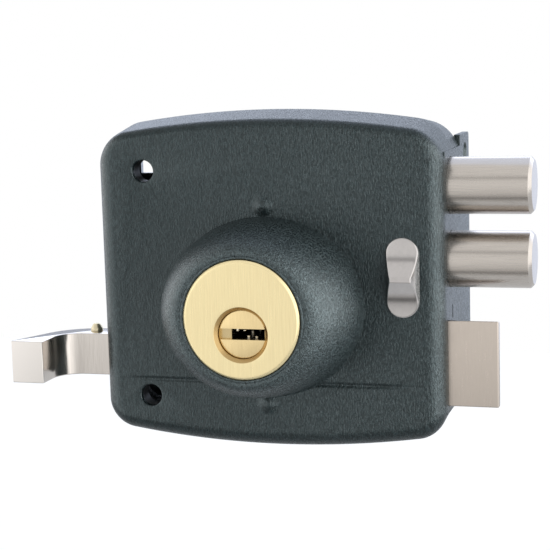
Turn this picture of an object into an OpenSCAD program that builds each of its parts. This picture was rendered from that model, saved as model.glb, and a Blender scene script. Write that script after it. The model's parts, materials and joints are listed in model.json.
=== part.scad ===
// Rim box lock: a lock screwed to the face of a door, with two round bolts thrown by a key
// cylinder, a sprung latch drawn by a pull handle, and a thumb slide that holds the latch.
// Millimetres. The origin is on the key axis at the door's face. +X points to the bolts, +Z up.
// The door lies at +Y, and depths are counted from its face towards the front, along -Y.

/* [Case] */
// Distance from the key axis to the face that the bolts leave
backset = 57.3; // [55:0.1:64]
// Width of the case
case_w = 113.6; // [111:0.2:124]
// Height of the case at its middle
case_h = 108.5; // [106:0.1:122]
// Height of the key axis above the lowest point of the case
axis_height = 41.9; // [41:0.1:46]
// Depth of the case from the door to the front of the cover
case_d = 34; // [33.5:0.5:42]
// Rise of the bowed upper and lower edges
bow = 5.2; // [1:0.2:6]
// Fall of the upper and lower walls towards the door
case_taper = 2.2; // [0:0.1:2.4]
// Radius of the upper corners seen from the front
top_corner_r = 10; // [7.5:0.5:11]
// Radius of the lower corners seen from the front
low_corner_r = 8.5; // [7.5:0.5:11]
// Radius of the rounded front edge
edge_r = 5.5; // [3:0.5:6.5]
// Thickness of the cover's sheet
sheet = 1.6; // [1:0.1:2]
// Thickness of the back plate
plate_t = 2; // [1.6:0.1:2.2]
// Height of the pressed crease below the key axis
crease_drop = 20.6; // [18:0.2:24]
// Depth of the pressed crease
crease_t = 0.4; // [0.2:0.1:0.8]

/* [Forend] */
// Thickness of the forend
forend_t = 2; // [1.6:0.1:2.6]
// Metal left above the upper bolt
forend_over = 2.2; // [1:0.1:3]
// Metal left below the latch
forend_under = 2.4; // [1:0.1:4]
// Width of the flange that covers the door's edge
flange_w = 18; // [14:0.5:30]
// Rise of that flange above the forend
flange_over = 3.5; // [0:0.5:5]
// Drop of that flange below the forend
flange_under = 1; // [0:0.5:3]
// Radius of the screw holes in the flange
edge_hole_r = 2.2; // [1.8:0.1:3]
// Distance of those holes from the door's face
edge_hole_back = 10; // [6:0.5:12]
// Distance of those holes from the flange's ends
edge_hole_end = 6.4; // [5:0.2:9]

/* [Mounting] */
// Distance of the mounting holes from the left side of the case
mount_in = 16.3; // [14:0.1:20]
// Distance of the upper mounting hole from the top of the case
mount_top = 19; // [16:0.1:24]
// Distance of the lower mounting hole from the bottom of the case
mount_low = 15.8; // [14:0.1:17]
// Radius of the mounting holes
mount_hole_r = 3.5; // [2.5:0.1:4]
// Wall of the sleeves round the mounting screws
sleeve_wall = 1.5; // [1:0.1:2]
// Length of those sleeves behind the cover
sleeve_l = 5; // [3:0.5:8]

/* [Key cylinder] */
// Radius of the key plug
plug_r = 7.5; // [7:0.1:8]
// Height of the cylinder's axis above the key axis
cylinder_rise = 4.5; // [3:0.1:4.6]
// Radius of the cylinder's face
cylinder_r = 18.5; // [17:0.1:19]
// Projection of the cylinder's face from the cover
cylinder_out = 27; // [26.4:0.1:30]
// Radius of the cylinder's stub behind its flange
stub_r = 13; // [12.6:0.1:13.2]
// Set-back of the plug's face
plug_recess = 1.7; // [1:0.1:3]
// Width of the keyway
key_w = 13.4; // [11:0.1:13.4]
// Height of the keyway
key_h = 3.4; // [2:0.1:3.6]
// Width of the shallow shelf at the keyway's left end
shelf_w = 3.7; // [1:0.1:4]
// Radius of the pins
pin_r = 1.3; // [1:0.1:1.5]
// Spacing of the pins
pin_pitch = 4; // [3.6:0.1:4.2]
// Number of pins
pin_count = 5; // [3:1:5]

/* [Guard] */
// Half width of the guard's foot
foot_a = 32.1; // [28:0.1:35]
// Half height of the guard's foot
foot_b = 28.2; // [25:0.1:30]
// Wall of the guard at its rim
guard_wall = 1.1; // [0.6:0.1:3]
// Distance of the guard's rim behind the cylinder's face
guard_set = 0.8; // [0:0.1:3]
// Distance of the guard's rivets from its foot
rivet_gap = 3.8; // [3.6:0.1:5]
// Radius of the rivets' heads
rivet_head_r = 3.1; // [2:0.1:3.4]

/* [Bolts] */
// Radius of the round bolts
bolt_r = 9; // [7:0.1:10]
// Throw of the bolts, which is one turn of the key
bolt_throw = 26.2; // [22:0.2:27]
// Distance of the bolts' axes behind the front of the cover
bolt_set = 16; // [15:0.1:17]
// Chamfer on the bolts' tips
bolt_chamfer = 1.1; // [0.5:0.1:2]

/* [Shares of the height that the bolts leave free] */
// Share above the upper bolt
over_bolts = 16.2; // [14:0.1:20]
// Share between the bolts
between_bolts = 5.3; // [4.6:0.1:7]
// Share between the lower bolt and the latch
over_latch = 9.5; // [8:0.1:12]
// Share of the latch
latch_share = 27.6; // [20:0.1:30]
// Share below the latch
under_latch = 13.9; // [12:0.1:18]

/* [Latch] */
// Projection of the latch, which is also its travel
latch_out = 15.8; // [12:0.1:18]
// Distance of the latch's flat front behind the front of the cover
latch_set = 8; // [7.8:0.1:10]
// Thickness of the latch
latch_t = 15; // [13:0.1:17]
// Fall of the latch's top towards the door
latch_rake = 3; // [0:0.1:3.2]

/* [Pull handle] */
// Height of the handle's bar
bar_h = 14.2; // [11:0.1:16]
// Distance of the bar's front behind the front of the cover
bar_set = 13.5; // [12:0.1:15]
// Thickness of the bar
bar_t = 10; // [9:0.1:12]
// Thickness of the finger tab
tab_t = 10.7; // [8:0.1:12]
// Reach of the finger tab in front of the cover
tab_out = 3; // [-3:0.5:10]
// Finger gap between the tab and the case
finger_gap = 21; // [18:0.5:30]
// Inner radius of the handle's bend
bend_r = 5.5; // [1:0.5:8]
// Radius of the handle's outer sweep
sweep_r = 18; // [14:0.5:20]

/* [Thumb slide] */
// Distance of the thumb slide from the side that the bolts leave
snib_in = 12; // [11:0.1:14]
// Height of the thumb slide's middle above the latch
snib_over = 14.5; // [13:0.1:16]
// Width of the thumb slide
snib_w = 11.8; // [10:0.1:13]
// Length of the thumb slide
snib_l = 25; // [23:0.1:28]
// Height of the thumb slide's ridge above the cover
snib_h = 5; // [4:0.1:6]
// Inset of the thumb slide's sides for each millimetre of height
snib_slope = 0.58; // [0.3:0.02:0.7]
// Travel of the thumb slide
snib_travel = 6.5; // [5:0.1:7.2]

/* [Clearances] */
// Running clearance of pieces that turn or slide in each other
fit = 0.08; // [0.04:0.01:0.1]
// Clearance of pieces that are fixed in each other
snug = 0.02; // [0.01:0.005:0.04]
// Free clearance between other pieces
gap = 0.3; // [0.2:0.05:0.35]

/* [Hidden] */
$fn = 64;

// Finishes
paint = "#44494c";
brass = "#dcc48a";
nickel = "#c2beb5";
zinc = "#9a9ea3";
spring_steel = "#6f747a";

// Case: edges, middle, and the planes of the sheet
left = backset - case_w;
right = backset;
mid_x = (left + right) / 2;
half_w = case_w / 2;
half_h = case_h / 2;
top_z = case_h - axis_height;
low_z = -axis_height;
mid_z = (top_z + low_z) / 2;
inner_d = case_d - sheet;
side_d = case_d - edge_r;
plate_edge = 0.15;
corner_steps = 7;
bow_steps = 14;
edge_steps = 6;
oval_steps = 72;
dome_steps = 10;
crease_r = 1.6;

// Heights along the bolt side: the bolts, and shares of the height that they leave free
share_sum = over_bolts + between_bolts + over_latch + latch_share + under_latch;
share = (case_h - 4 * bolt_r) / share_sum;
upper_bolt_rise = top_z - over_bolts * share - bolt_r;
lower_bolt_rise = upper_bolt_rise - between_bolts * share - 2 * bolt_r;
latch_top = lower_bolt_rise - bolt_r - over_latch * share;
latch_h = latch_share * share;
latch_low = latch_top - latch_h;

// Depths of the moving pieces, counted back from the front of the cover
bolt_depth = case_d - bolt_set;
latch_front = case_d - latch_set;
bar_front = case_d - bar_set;

// Cylinder: planes counted from the door, from the front backwards
face_d = case_d + cylinder_out;
plug_face = face_d - plug_recess;
guard_flange_t = 1.5;
seat_d = inner_d - guard_flange_t;
body_flange_t = 3;
body_flange_w = 7.5;
body_flange_r = cylinder_r + body_flange_w;
flange_back = seat_d - body_flange_t;
stub_t = 4.9;
stub_back = flange_back - stub_t;
face_chamfer = 0.8;
mouth = 1.1;
keyway_d = 26;
shelf_d = 1.2;
body_screw_in = 3.8;
body_screw_x = cylinder_r + body_screw_in;
body_screw_r = 1.5;
body_screw_l = 9;
screw_head_t = 2.2;
screw_slot = 0.8;
guard_lip = 4.5;
guard_rim = cylinder_r + guard_wall;
guard_h = cylinder_out - guard_set;
rivet_off = foot_b + rivet_gap;
rivet_r = 1.6;
rivet_head_h = 1;
rivet_tail_h = 0.8;

// Pins: the shear line is the plug's edge
first_pin = 3.3;
pin_fit = 0.1;
pin_show = 0.9;
pin_tip_r = 0.5;
low_pin_r = 1;
low_pin_end = 0.4;
shear = 0.12;
driver_l = 4.6;
chamber_plug_l = 3;
chamber_end = 0.35;
driver_top = plug_r + shear + driver_l;
chamber_low = cylinder_rise + cylinder_r - chamber_end - chamber_plug_l;
pin_wire = 0.22;
pin_turns = 6;

// Tail of the plug, its clip, and the pinion on it
tail_r = 4;
groove_r = 3.4;
clip_t = 1;
clip_r = 9;
clip_mouth = 5;
journal_r = 2;
journal_end = 4.2;
hub_front = 9;
hub_r = 5.2;
nose_r = 4.6;
socket_w = 4.8;
socket_h = 2;

// Rack and pinion: one turn of the key moves the bolts by their whole throw
teeth = 8;
pitch = bolt_throw / teeth;
pitch_r = bolt_throw / (2 * PI);
tooth_module = 2 * pitch_r / teeth;
tooth_share = 0.38;
pressure = 20;
base_r = pitch_r * cos(pressure);
tooth_tip = 0.72 * tooth_module;
tooth_root = 0.98 * tooth_module;
flank_steps = 5;

// Bolt carriage: a plate on the back plate, with an upright web that holds the bolts
web_back = plate_t + gap;
web_t = 3;
web_front = web_back + web_t;
upright_t = 4;
bolt_in = 12;
bolt_root = right - bolt_in;
upright_x = bolt_root - upright_t;
upright_low = lower_bolt_rise - bolt_r - 0.5;
upright_high = upper_bolt_rise + bolt_r + 0.2;
upright_front = bolt_depth + bolt_r - 1;
post_x = -4;
post_r = 2;
post_rivet_r = 1.5;
post_head_r = 4;
post_head_t = 1;
post_rise = 12;
post_pitch = 18;
post_z = [post_rise, post_rise + post_pitch];
web_margin = 4;
web_left = post_x - web_margin;
web_step = 14;
web_step_x = post_x + web_step;
web_step_z = post_rise + post_pitch + post_r + web_margin;
bolt_screw_r = 3;
bolt_screw_l = 14;
bolt_screw_head_r = 5;
bolt_screw_head_t = 2.5;
bush_wall = 1.6;
bush_l = 8;

// Forend: a plate with a lip riveted to the back plate
forend_x = right - forend_t;
forend_rise = upper_bolt_rise + bolt_r + forend_over;
forend_drop = forend_under - latch_low;
flange_rise = forend_rise + flange_over;
flange_drop = forend_drop + flange_under;
lip_w = 8.5;
lip_x = forend_x - lip_w;
lip_t = 1.8;
lip_rivet_x = forend_x - lip_w / 2;
lip_rivet_end = 5;
lip_rivet_z = [
    lip_rivet_end - forend_drop,
    (latch_top + lower_bolt_rise - bolt_r) / 2,
    (lower_bolt_rise + upper_bolt_rise) / 2];
lip_rivet_r = 1.8;
slit_w = 1;
slit_d = 13.2;
slit_h = 2.4;
slit_over = 1;

// Latch and draw bar
latch_in = 28;
latch_x = right - latch_in;
latch_tip = right + latch_out;
latch_nose = 3;
latch_land = 1;
strap_h = 9;
strap_t = 4;
strap_off = 0.5;
strap_front = bar_front - (bar_t - strap_t) / 2 - strap_off;
strap_in = 8;
strap_fit = 0.1;
strap_end = 13.4;
strap_clear = 0.8;
strap_low = low_z + mount_low + mount_hole_r + sleeve_wall + strap_clear;
bar_mid = strap_low + strap_h / 2;
guide_x = upright_x;
guide_t = 3;
guide_wall = 1.4;
guide_foot = 8;
latch_pin_r = 1.5;
latch_pin_in = 4;

// Latch spring, its rod and its seat
spring_over = 3.4;
spring_z = latch_low + spring_over;
spring_d = latch_front - latch_t / 2;
spring_r = 2.1;
spring_wire = 0.5;
spring_turns = 9;
spring_gap = 0.05;
seat_t = 3;
spring_short = 16.2;
seat_x = latch_x - latch_out - spring_short;
seat_drop = 6;
rod_r = 1.2;
rod_l = 14;

// Handle
bar_low = bar_mid - bar_h / 2;
bar_top = bar_low + bar_h;
bar_back = bar_front - bar_t;
bar_in = 10.3;
tab_x = left - finger_gap;
tab_reach = case_d + tab_out;
sweep_in = 12.6;
sweep_x = tab_x + sweep_in;
handle_pin_out = 10;
handle_pin_x = left - handle_pin_out;
handle_pin_r = 1.5;
handle_pin_head_r = 2.1;
handle_pin_head_h = 2.6;

// Thumb slide: button in front of the cover, slide and tongue behind it
snib_x = right - snib_in;
snib_z = latch_top + snib_over;
snib_foot = 0.2;
scoop_r = 20;
scoop_off = 10.5;
scoop_low = 2;
ridge_half = 0.4;
neck_w = 6;
neck_h = 8;
pad_t = 2.8;
pad_front = inner_d - gap;
pad_back = pad_front - pad_t;
pad_inset = 0.4;
pad_end = 1;
arm_t = 1.8;
arm_h = 6;
tongue_lift = 1.2;
tongue_w = 4;
tongue_in = 3;
tongue_x = latch_x + tongue_in;
tongue_reach = 11;
tongue_back = latch_front - tongue_reach;
notch_spare = 0.7;
snib_rivet_r = 1;

// Fasteners of the case
pillar_r = 3.5;
pillar_off = 12.3;
pillar_top = 9.6;
pillar_low = 9.7;
pillar_spots = [
    [left + mount_in + pillar_off, top_z - pillar_off],
    [pillar_top, top_z - pillar_top],
    [-2 * pillar_low, low_z + pillar_low]];
pillar_tap = 12;
case_screw_r = 1.6;
case_screw_head_r = 3.2;
case_screw_head_t = 1.5;
relief_in = 3.6;
relief_w = 5.5;
relief_h = 8.3;
relief_drop = 3.3;

// Shapes that repeat

// A flat outline in X and Z, given thickness from depth d0 to depth d1
module slab(d0, d1)
    translate([0, -d0, 0]) rotate([90, 0, 0]) linear_extrude(d1 - d0) children();

// A round post along the depth
module post(x, z, d0, d1, r)
    translate([x, -d0, z]) rotate([90, 0, 0]) cylinder(h = d1 - d0, r = r);

// A round bar along X
module bar_x(x0, x1, d, z, r)
    translate([x0, -d, z]) rotate([0, 90, 0]) cylinder(h = x1 - x0, r = r);

// A block between two values of X, depth and Z
module block(x0, x1, d0, d1, z0, z1)
    translate([x0, -d1, z0]) cube([x1 - x0, d1 - d0, z1 - z0]);

// An outline of radius and depth turned about an axis along the depth
module turned(x, z)
    translate([x, 0, z]) rotate([90, 0, 0]) rotate_extrude() children();

// A slot with round ends along X
module slot_x(x0, x1, z, r) {
    translate([x0, z - r]) square([x1 - x0, 2 * r]);
    translate([x0, z]) circle(r);
    translate([x1, z]) circle(r);
}

// Quarter of an ellipse, from the radius r at height 0 to the axis at height h
function dome(r, h) = [
    for (i = [0 : dome_steps])
        let (a = 90 * i / dome_steps)
        [r * cos(a), h * sin(a)]];

// An oval about the cylinder's axis, as points and as an outline
function oval_points(a, b) = [
    for (i = [0 : oval_steps - 1])
        [a * cos(360 * i / oval_steps), cylinder_rise + b * sin(360 * i / oval_steps)]];
module oval(a, b) polygon(oval_points(a, b));

// Rim of the case, seen from the front: a rectangle with round corners and bowed long edges
function quarter(q, w, h, r) = [
    for (i = [0 : corner_steps])
        let (a = 90 * (q + i / corner_steps))
        [(q == 0 || q == 3 ? 1 : -1) * (w - r) + r * cos(a), (q < 2 ? 1 : -1) * (h - r) + r * sin(a)]];
function run(x0, x1, z) = [for (i = [1 : bow_steps - 1]) [x0 + (x1 - x0) * i / bow_steps, z]];
function bowed(p) = [
    mid_x + p[0],
    mid_z + p[1] + (p[1] > 0 ? 1 : -1) * bow * (1 - pow(p[0] / half_w, 2))];
function rim(inset, fall) =
    let (w = half_w - inset, h = half_h - bow - inset - fall,
        t = max(top_corner_r - inset, 0.6), l = max(low_corner_r - inset, 0.6))
    [for (p = concat(
        quarter(0, w, h, t), run(w - t, t - w, h), quarter(1, w, h, t),
        quarter(2, w, h, l), run(l - w, w - l, -h), quarter(3, w, h, l))) bowed(p)];

// Rings of points at one depth, and the solid between a row of such rings
function ring(points, d) = [for (p = points) [p[0], -d, p[1]]];
module loft(rings) {
    n = len(rings[0]);
    last = (len(rings) - 1) * n;
    sides = [
        for (k = [0 : len(rings) - 2], i = [0 : n - 1])
            let (j = (i + 1) % n, a = k * n + i, b = k * n + j)
            each [[a, a + n, b + n], [a, b + n, b]]];
    caps = [[for (i = [0 : n - 1]) i], [for (i = [n - 1 : -1 : 0]) last + i]];
    polyhedron(points = [for (r = rings) each r], faces = concat(sides, caps));
}

// Rings of the case's shell: walls that fall towards the door, then the rounded front edge
function shell_rings(inset, d_back, d_front, r) = concat(
    [ring(rim(inset, case_taper * (1 - d_back / side_d)), d_back)],
    [for (i = [0 : edge_steps])
        let (a = 90 * i / edge_steps)
        ring(rim(inset + r * (1 - cos(a)), 0), d_front - r + r * sin(a))]);

// A coil spring along Z: a tube of six sides along a helix, with eight rings a turn
module coil(r, wire, length, turns) {
    sides = 6;
    steps = 8 * turns;
    rise = length - 2 * wire;
    points = [
        for (k = [0 : steps], s = [0 : sides - 1])
            let (a = 45 * k, t = 360 * s / sides, out = r + wire * cos(t))
            [out * cos(a), out * sin(a), wire + rise * k / steps + wire * sin(t)]];
    tube = [
        for (k = [0 : steps - 1], s = [0 : sides - 1])
            let (p = k * sides + s, q = k * sides + (s + 1) % sides)
            each [[p, q, q + sides], [p, q + sides, p + sides]]];
    ends = [[for (s = [sides - 1 : -1 : 0]) s], [for (s = [0 : sides - 1]) steps * sides + s]];
    polyhedron(points = points, faces = concat(tube, ends));
}

// Tooth of the pinion: half its angle at radius r, from the involute of the base circle
function involute(r) = let (a = acos(min(base_r / r, 1))) tan(a) * 180 / PI - a;
function half_tooth(r) = tooth_share * 180 / teeth + involute(pitch_r) - involute(max(r, base_r));
function flank() = concat(
    [pitch_r - tooth_root],
    [for (i = [0 : flank_steps]) base_r + (pitch_r + tooth_tip - base_r) * i / flank_steps]);
function polar(r, a) = [r * cos(a), r * sin(a)];
module gear_outline() {
    radii = flank();
    n = len(radii);
    polygon([
        for (k = [0 : teeth - 1])
            let (c = 90 + 360 * k / teeth)
            each concat(
                [for (i = [0 : n - 1]) polar(radii[i], c - half_tooth(radii[i]))],
                [for (i = [n - 1 : -1 : 0]) polar(radii[i], c + half_tooth(radii[i]))])]);
}

// Tooth of the rack, pointing down at the pinion
module rack_tooth(x) {
    half = tooth_share * pitch / 2;
    slope = tan(pressure);
    polygon([
        [x - half - tooth_root * slope, pitch_r + tooth_root],
        [x - half + tooth_tip * slope, pitch_r - tooth_tip],
        [x + half - tooth_tip * slope, pitch_r - tooth_tip],
        [x + half + tooth_root * slope, pitch_r + tooth_root]]);
}

// Depth of one pin's axis, counted from the plug's face backwards
function pin_depth(i) = plug_face - first_pin - pin_pitch * i;
module at_pins() for (i = [0 : pin_count - 1]) translate([0, -pin_depth(i), 0]) children();

// The fixed pins below the keyway, under every second pin
module at_low_pins() for (i = [2 : 2 : pin_count - 1]) translate([0, -pin_depth(i), 0]) children();

// Places of the mounting holes, the guard's rivets and the edge holes
mount_spots = [[left + mount_in, top_z - mount_top], [left + mount_in, low_z + mount_low]];
rivet_spots = [[0, cylinder_rise + rivet_off], [0, cylinder_rise - rivet_off]];
edge_hole_z = [flange_rise - edge_hole_end, edge_hole_end - flange_drop];
bolt_rises = [lower_bolt_rise, upper_bolt_rise];

// Case

module back_plate() {
    color(zinc) difference() {
        slab(0, plate_t) intersection() {
            polygon(rim(sheet + plate_edge, case_taper));
            translate([left, mid_z - half_h]) square([forend_x - plate_edge - left, case_h]);
        }
        for (p = mount_spots) post(p[0], p[1], -1, plate_t + 1, mount_hole_r);
        slab(-1, plate_t + 1) translate([left + relief_in, mount_spots[0][1] - relief_drop])
            square([relief_w, relief_h]);
        post(0, 0, -1, plate_t + 1, nose_r + fit);
        for (z = post_z) post(post_x, z, -1, plate_t + 1, post_rivet_r + snug);
        for (z = lip_rivet_z) post(lip_rivet_x, z, -1, plate_t + 1, lip_rivet_r + snug);
        for (p = pillar_spots) {
            post(p[0], p[1], -1, plate_t + 1, case_screw_r + fit);
            turned(p[0], p[1]) polygon([
                [0, -1], [case_screw_head_r + fit, -1], [case_screw_head_r + fit, 0],
                [case_screw_r + fit, case_screw_head_t], [0, case_screw_head_t]]);
        }
    }
}

module forend_plate() {
    slit_low = latch_top + gap + slit_over;
    color(paint) difference() {
        union() {
            block(forend_x, right, 0, side_d, -forend_drop, forend_rise);
            block(forend_x, right, -flange_w, 0, -flange_drop, flange_rise);
            block(lip_x, forend_x, plate_t, plate_t + lip_t, -forend_drop, forend_rise);
        }
        for (z = bolt_rises) bar_x(lip_x, right + 1, bolt_depth, z, bolt_r + fit);
        block(forend_x - 1, right + 1, latch_front - latch_t - gap, latch_front + gap,
            latch_low - gap, latch_top + gap);
        for (z = edge_hole_z) bar_x(forend_x - 1, right + 1, -edge_hole_back, z, edge_hole_r);
        for (z = lip_rivet_z) post(lip_rivet_x, z, plate_t - 1, plate_t + lip_t + 1, lip_rivet_r + snug);
        block(forend_x - 1, right + 1, slit_d - slit_w, slit_d, slit_low, slit_low + slit_h);
    }
}

module forend_rivets() {
    color(zinc) for (z = lip_rivet_z) {
        post(lip_rivet_x, z, 0, plate_t + lip_t, lip_rivet_r);
        turned(lip_rivet_x, z) translate([0, plate_t + lip_t])
            polygon(concat([[0, 0]], dome(lip_rivet_r + 1.2, 1)));
    }
}

module cover() {
    slot_z = snib_z - snib_travel / 2;
    slot_half = neck_h / 2 + snib_travel / 2 + gap / 2;
    color(paint) difference() {
        loft(shell_rings(0, 0, case_d, edge_r));
        loft(shell_rings(sheet, -1, inner_d, edge_r - sheet));
        slab(inner_d - 1, case_d + 1) oval(foot_a + plate_edge, foot_b + plate_edge);
        for (p = mount_spots) post(p[0], p[1], inner_d - 1, case_d + 1, mount_hole_r);
        for (p = rivet_spots) post(p[0], p[1], inner_d - 1, case_d + 1, rivet_r + snug);
        block(snib_x - neck_w / 2 - gap / 2, snib_x + neck_w / 2 + gap / 2,
            inner_d - 1, case_d + 1, slot_z - slot_half, slot_z + slot_half);
        block(left - 1, left + sheet + 1, bar_back - gap, bar_front + gap, bar_low - gap, bar_top + gap);
        block(forend_x - plate_edge - 2, right + 1, -1, side_d + plate_edge,
            -forend_drop - plate_edge, forend_rise + plate_edge);
        bar_x(left + edge_r, right - edge_r, case_d + crease_r - crease_t, -crease_drop, crease_r);
    }
}

module cover_pillars() {
    color(zinc) for (p = pillar_spots) difference() {
        post(p[0], p[1], plate_t, inner_d, pillar_r);
        post(p[0], p[1], plate_t - 1, plate_t + pillar_tap, case_screw_r + snug);
    }
}

module cover_screws() {
    color(zinc) for (p = pillar_spots) turned(p[0], p[1]) polygon([
        [0, 0.1], [case_screw_head_r - 0.1, 0.1], [case_screw_r, case_screw_head_t],
        [case_screw_r, plate_t + pillar_tap - 1], [0, plate_t + pillar_tap - 1]]);
}

module mount_sleeves() {
    color(zinc) for (p = mount_spots) difference() {
        post(p[0], p[1], inner_d - sleeve_l, inner_d, mount_hole_r + sleeve_wall);
        post(p[0], p[1], inner_d - sleeve_l - 1, inner_d + 1, mount_hole_r);
    }
}

// Guard and key cylinder

module cylinder_guard() {
    rings = concat(
        [ring(oval_points(foot_a, foot_b), seat_d + guard_flange_t / 2)],
        [for (p = dome(1, guard_h))
            ring(oval_points(guard_rim + (foot_a - guard_rim) * p[0],
                guard_rim + (foot_b - guard_rim) * p[0]), case_d + p[1])]);
    color(paint) difference() {
        union() {
            loft(rings);
            slab(seat_d, inner_d) oval(foot_a + guard_lip - 1, rivet_off + guard_lip);
        }
        post(0, cylinder_rise, seat_d - 1, case_d + guard_h + 1, cylinder_r + fit);
        for (p = rivet_spots) post(p[0], p[1], seat_d - 1, inner_d + 1, rivet_r + snug);
        for (s = [-1, 1])
            post(s * body_screw_x, cylinder_rise, seat_d - 1, flange_back + body_screw_l + 0.5,
                body_screw_r + snug);
    }
}

module guard_rivets() {
    color(paint) for (p = rivet_spots) {
        post(p[0], p[1], seat_d, case_d, rivet_r);
        turned(p[0], p[1]) translate([0, case_d]) polygon(concat([[0, 0]], dome(rivet_head_r, rivet_head_h)));
        post(p[0], p[1], seat_d - rivet_tail_h, seat_d, rivet_r + 1);
    }
}

module cylinder_body() {
    color(brass) difference() {
        turned(0, cylinder_rise) polygon([
            [0, stub_back], [stub_r, stub_back], [stub_r, flange_back], [body_flange_r, flange_back],
            [body_flange_r, seat_d], [cylinder_r, seat_d], [cylinder_r, face_d - face_chamfer],
            [cylinder_r - face_chamfer, face_d], [0, face_d]]);
        post(0, 0, stub_back - 1, face_d + 1, plug_r + fit);
        turned(0, 0) polygon([
            [0, face_d - mouth], [plug_r + fit, face_d - mouth],
            [plug_r + fit + mouth, face_d], [plug_r + fit + mouth, face_d + 1], [0, face_d + 1]]);
        at_pins() cylinder(h = cylinder_rise + cylinder_r + 1, r = pin_r + pin_fit);
        for (s = [-1, 1])
            post(s * body_screw_x, cylinder_rise, flange_back - 1, seat_d + 1, body_screw_r + fit);
    }
}

module cylinder_screws() {
    color(zinc) for (s = [-1, 1]) {
        post(s * body_screw_x, cylinder_rise, flange_back, flange_back + body_screw_l, body_screw_r);
        difference() {
            post(s * body_screw_x, cylinder_rise, flange_back - screw_head_t, flange_back, 2 * body_screw_r);
            block(s * body_screw_x - 3 * body_screw_r, s * body_screw_x + 3 * body_screw_r,
                flange_back - screw_head_t - 1, flange_back - screw_head_t / 2,
                cylinder_rise - screw_slot / 2, cylinder_rise + screw_slot / 2);
        }
    }
}

module driver_pins() {
    color(zinc) at_pins() translate([0, 0, plug_r + shear]) cylinder(h = driver_l, r = pin_r);
}

module pin_springs() {
    color(spring_steel) at_pins() translate([0, 0, driver_top + fit / 2])
        coil(pin_r - pin_wire, pin_wire, chamber_low - driver_top - fit, pin_turns);
}

module chamber_plugs() {
    color(brass) at_pins() translate([0, 0, chamber_low])
        cylinder(h = chamber_plug_l, r = pin_r + pin_fit - snug);
}

module plug() {
    tip = 0.3;
    color(brass) difference() {
        turned(0, 0) polygon([
            [0, journal_end], [journal_r, journal_end], [journal_r, hub_front], [tail_r, hub_front],
            [tail_r, stub_back - clip_t - 2 * fit], [groove_r, stub_back - clip_t - 2 * fit],
            [groove_r, stub_back], [plug_r, stub_back], [plug_r, plug_face - tip],
            [plug_r - tip, plug_face], [0, plug_face]]);
        block(-key_w / 2, key_w / 2, plug_face - shelf_d, plug_face + 1, -key_h / 2, key_h / 2);
        block(shelf_w - key_w / 2, key_w / 2, plug_face - keyway_d, plug_face + 1, -key_h / 2, key_h / 2);
        at_pins() cylinder(h = plug_r + 1, r = pin_r + pin_fit);
        at_low_pins() translate([0, 0, -plug_r - 1]) cylinder(h = plug_r, r = low_pin_r + snug);
    }
}

module plug_clip() {
    d0 = stub_back - fit - clip_t;
    color(spring_steel) difference() {
        post(0, 0, d0, d0 + clip_t, clip_r);
        post(0, 0, d0 - 1, d0 + clip_t + 1, groove_r + fit / 2);
        block(-clip_mouth / 2, clip_mouth / 2, d0 - 1, d0 + clip_t + 1, -clip_r - 1, 0);
    }
}

module key_pins() {
    low = key_h / 2 - pin_show;
    color(zinc) at_pins() {
        translate([0, 0, low]) cylinder(h = pin_show, r1 = pin_tip_r, r2 = pin_r);
        translate([0, 0, low + pin_show]) cylinder(h = plug_r - 0.2 - low - pin_show, r = pin_r);
    }
    color(zinc) at_low_pins() translate([0, 0, low_pin_end - plug_r])
        cylinder(h = plug_r - low_pin_end - low, r = low_pin_r);
}

// Bolt work

module drive_pinion() {
    color(zinc) difference() {
        union() {
            slab(plate_t + 0.2, web_front + gap) gear_outline();
            post(0, 0, web_front + gap, hub_front, hub_r);
            post(0, 0, gap, plate_t + 0.2, nose_r);
        }
        post(0, 0, journal_end - fit, hub_front + 1, journal_r + snug);
        block(-socket_w / 2, socket_w / 2, 0, journal_end - fit, -socket_h / 2, socket_h / 2);
    }
}

module bolt_carriage() {
    rack_low = pitch_r + tooth_root;
    spare = ceil(2 * pitch_r / pitch);
    rack_end = (teeth + spare) * pitch;
    color(zinc) difference() {
        union() {
            slab(web_back, web_front) {
                difference() {
                    union() {
                        translate([web_left, rack_low]) square([rack_end - web_left, web_step_z - rack_low]);
                        translate([web_step_x, upright_low])
                            square([bolt_root - web_step_x, upright_high - upright_low]);
                    }
                    for (z = post_z) slot_x(post_x - gap, post_x + bolt_throw + gap, z, post_r + fit);
                }
                for (k = [-spare : teeth + spare - 1]) rack_tooth((k + 0.5) * pitch);
            }
            block(upright_x, bolt_root, web_back, upright_front, upright_low, upright_high);
        }
        for (z = bolt_rises) bar_x(upright_x - 1, bolt_root + 1, bolt_depth, z, bolt_screw_r + snug);
    }
}

module carriage_posts() {
    color(zinc) for (z = post_z) turned(post_x, z) polygon([
        [0, 0], [post_rivet_r, 0], [post_rivet_r, plate_t], [post_r, plate_t], [post_r, web_front + gap],
        [post_head_r, web_front + gap], [post_head_r, web_front + gap + post_head_t],
        [0, web_front + gap + post_head_t]]);
}

module bolt_bushes() {
    color(brass) for (z = bolt_rises) difference() {
        bar_x(forend_x - bush_l, forend_x, bolt_depth, z, bolt_r + bush_wall);
        bar_x(forend_x - bush_l - 1, forend_x + 1, bolt_depth, z, bolt_r + fit);
    }
}

// A round bolt with a chamfered tip and a tapped hole in its root
module round_bolt(z) {
    l = bolt_in + bolt_throw;
    translate([bolt_root, -bolt_depth, z]) rotate([0, 90, 0]) difference() {
        rotate_extrude() polygon([
            [0, 0], [bolt_r, 0], [bolt_r, l - bolt_chamfer], [bolt_r - bolt_chamfer, l], [0, l]]);
        translate([0, 0, -1]) cylinder(h = bolt_screw_l - upright_t + 2, r = bolt_screw_r + snug);
    }
}

module upper_bolt() color(nickel) round_bolt(upper_bolt_rise);

module lower_bolt() color(nickel) round_bolt(lower_bolt_rise);

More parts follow.
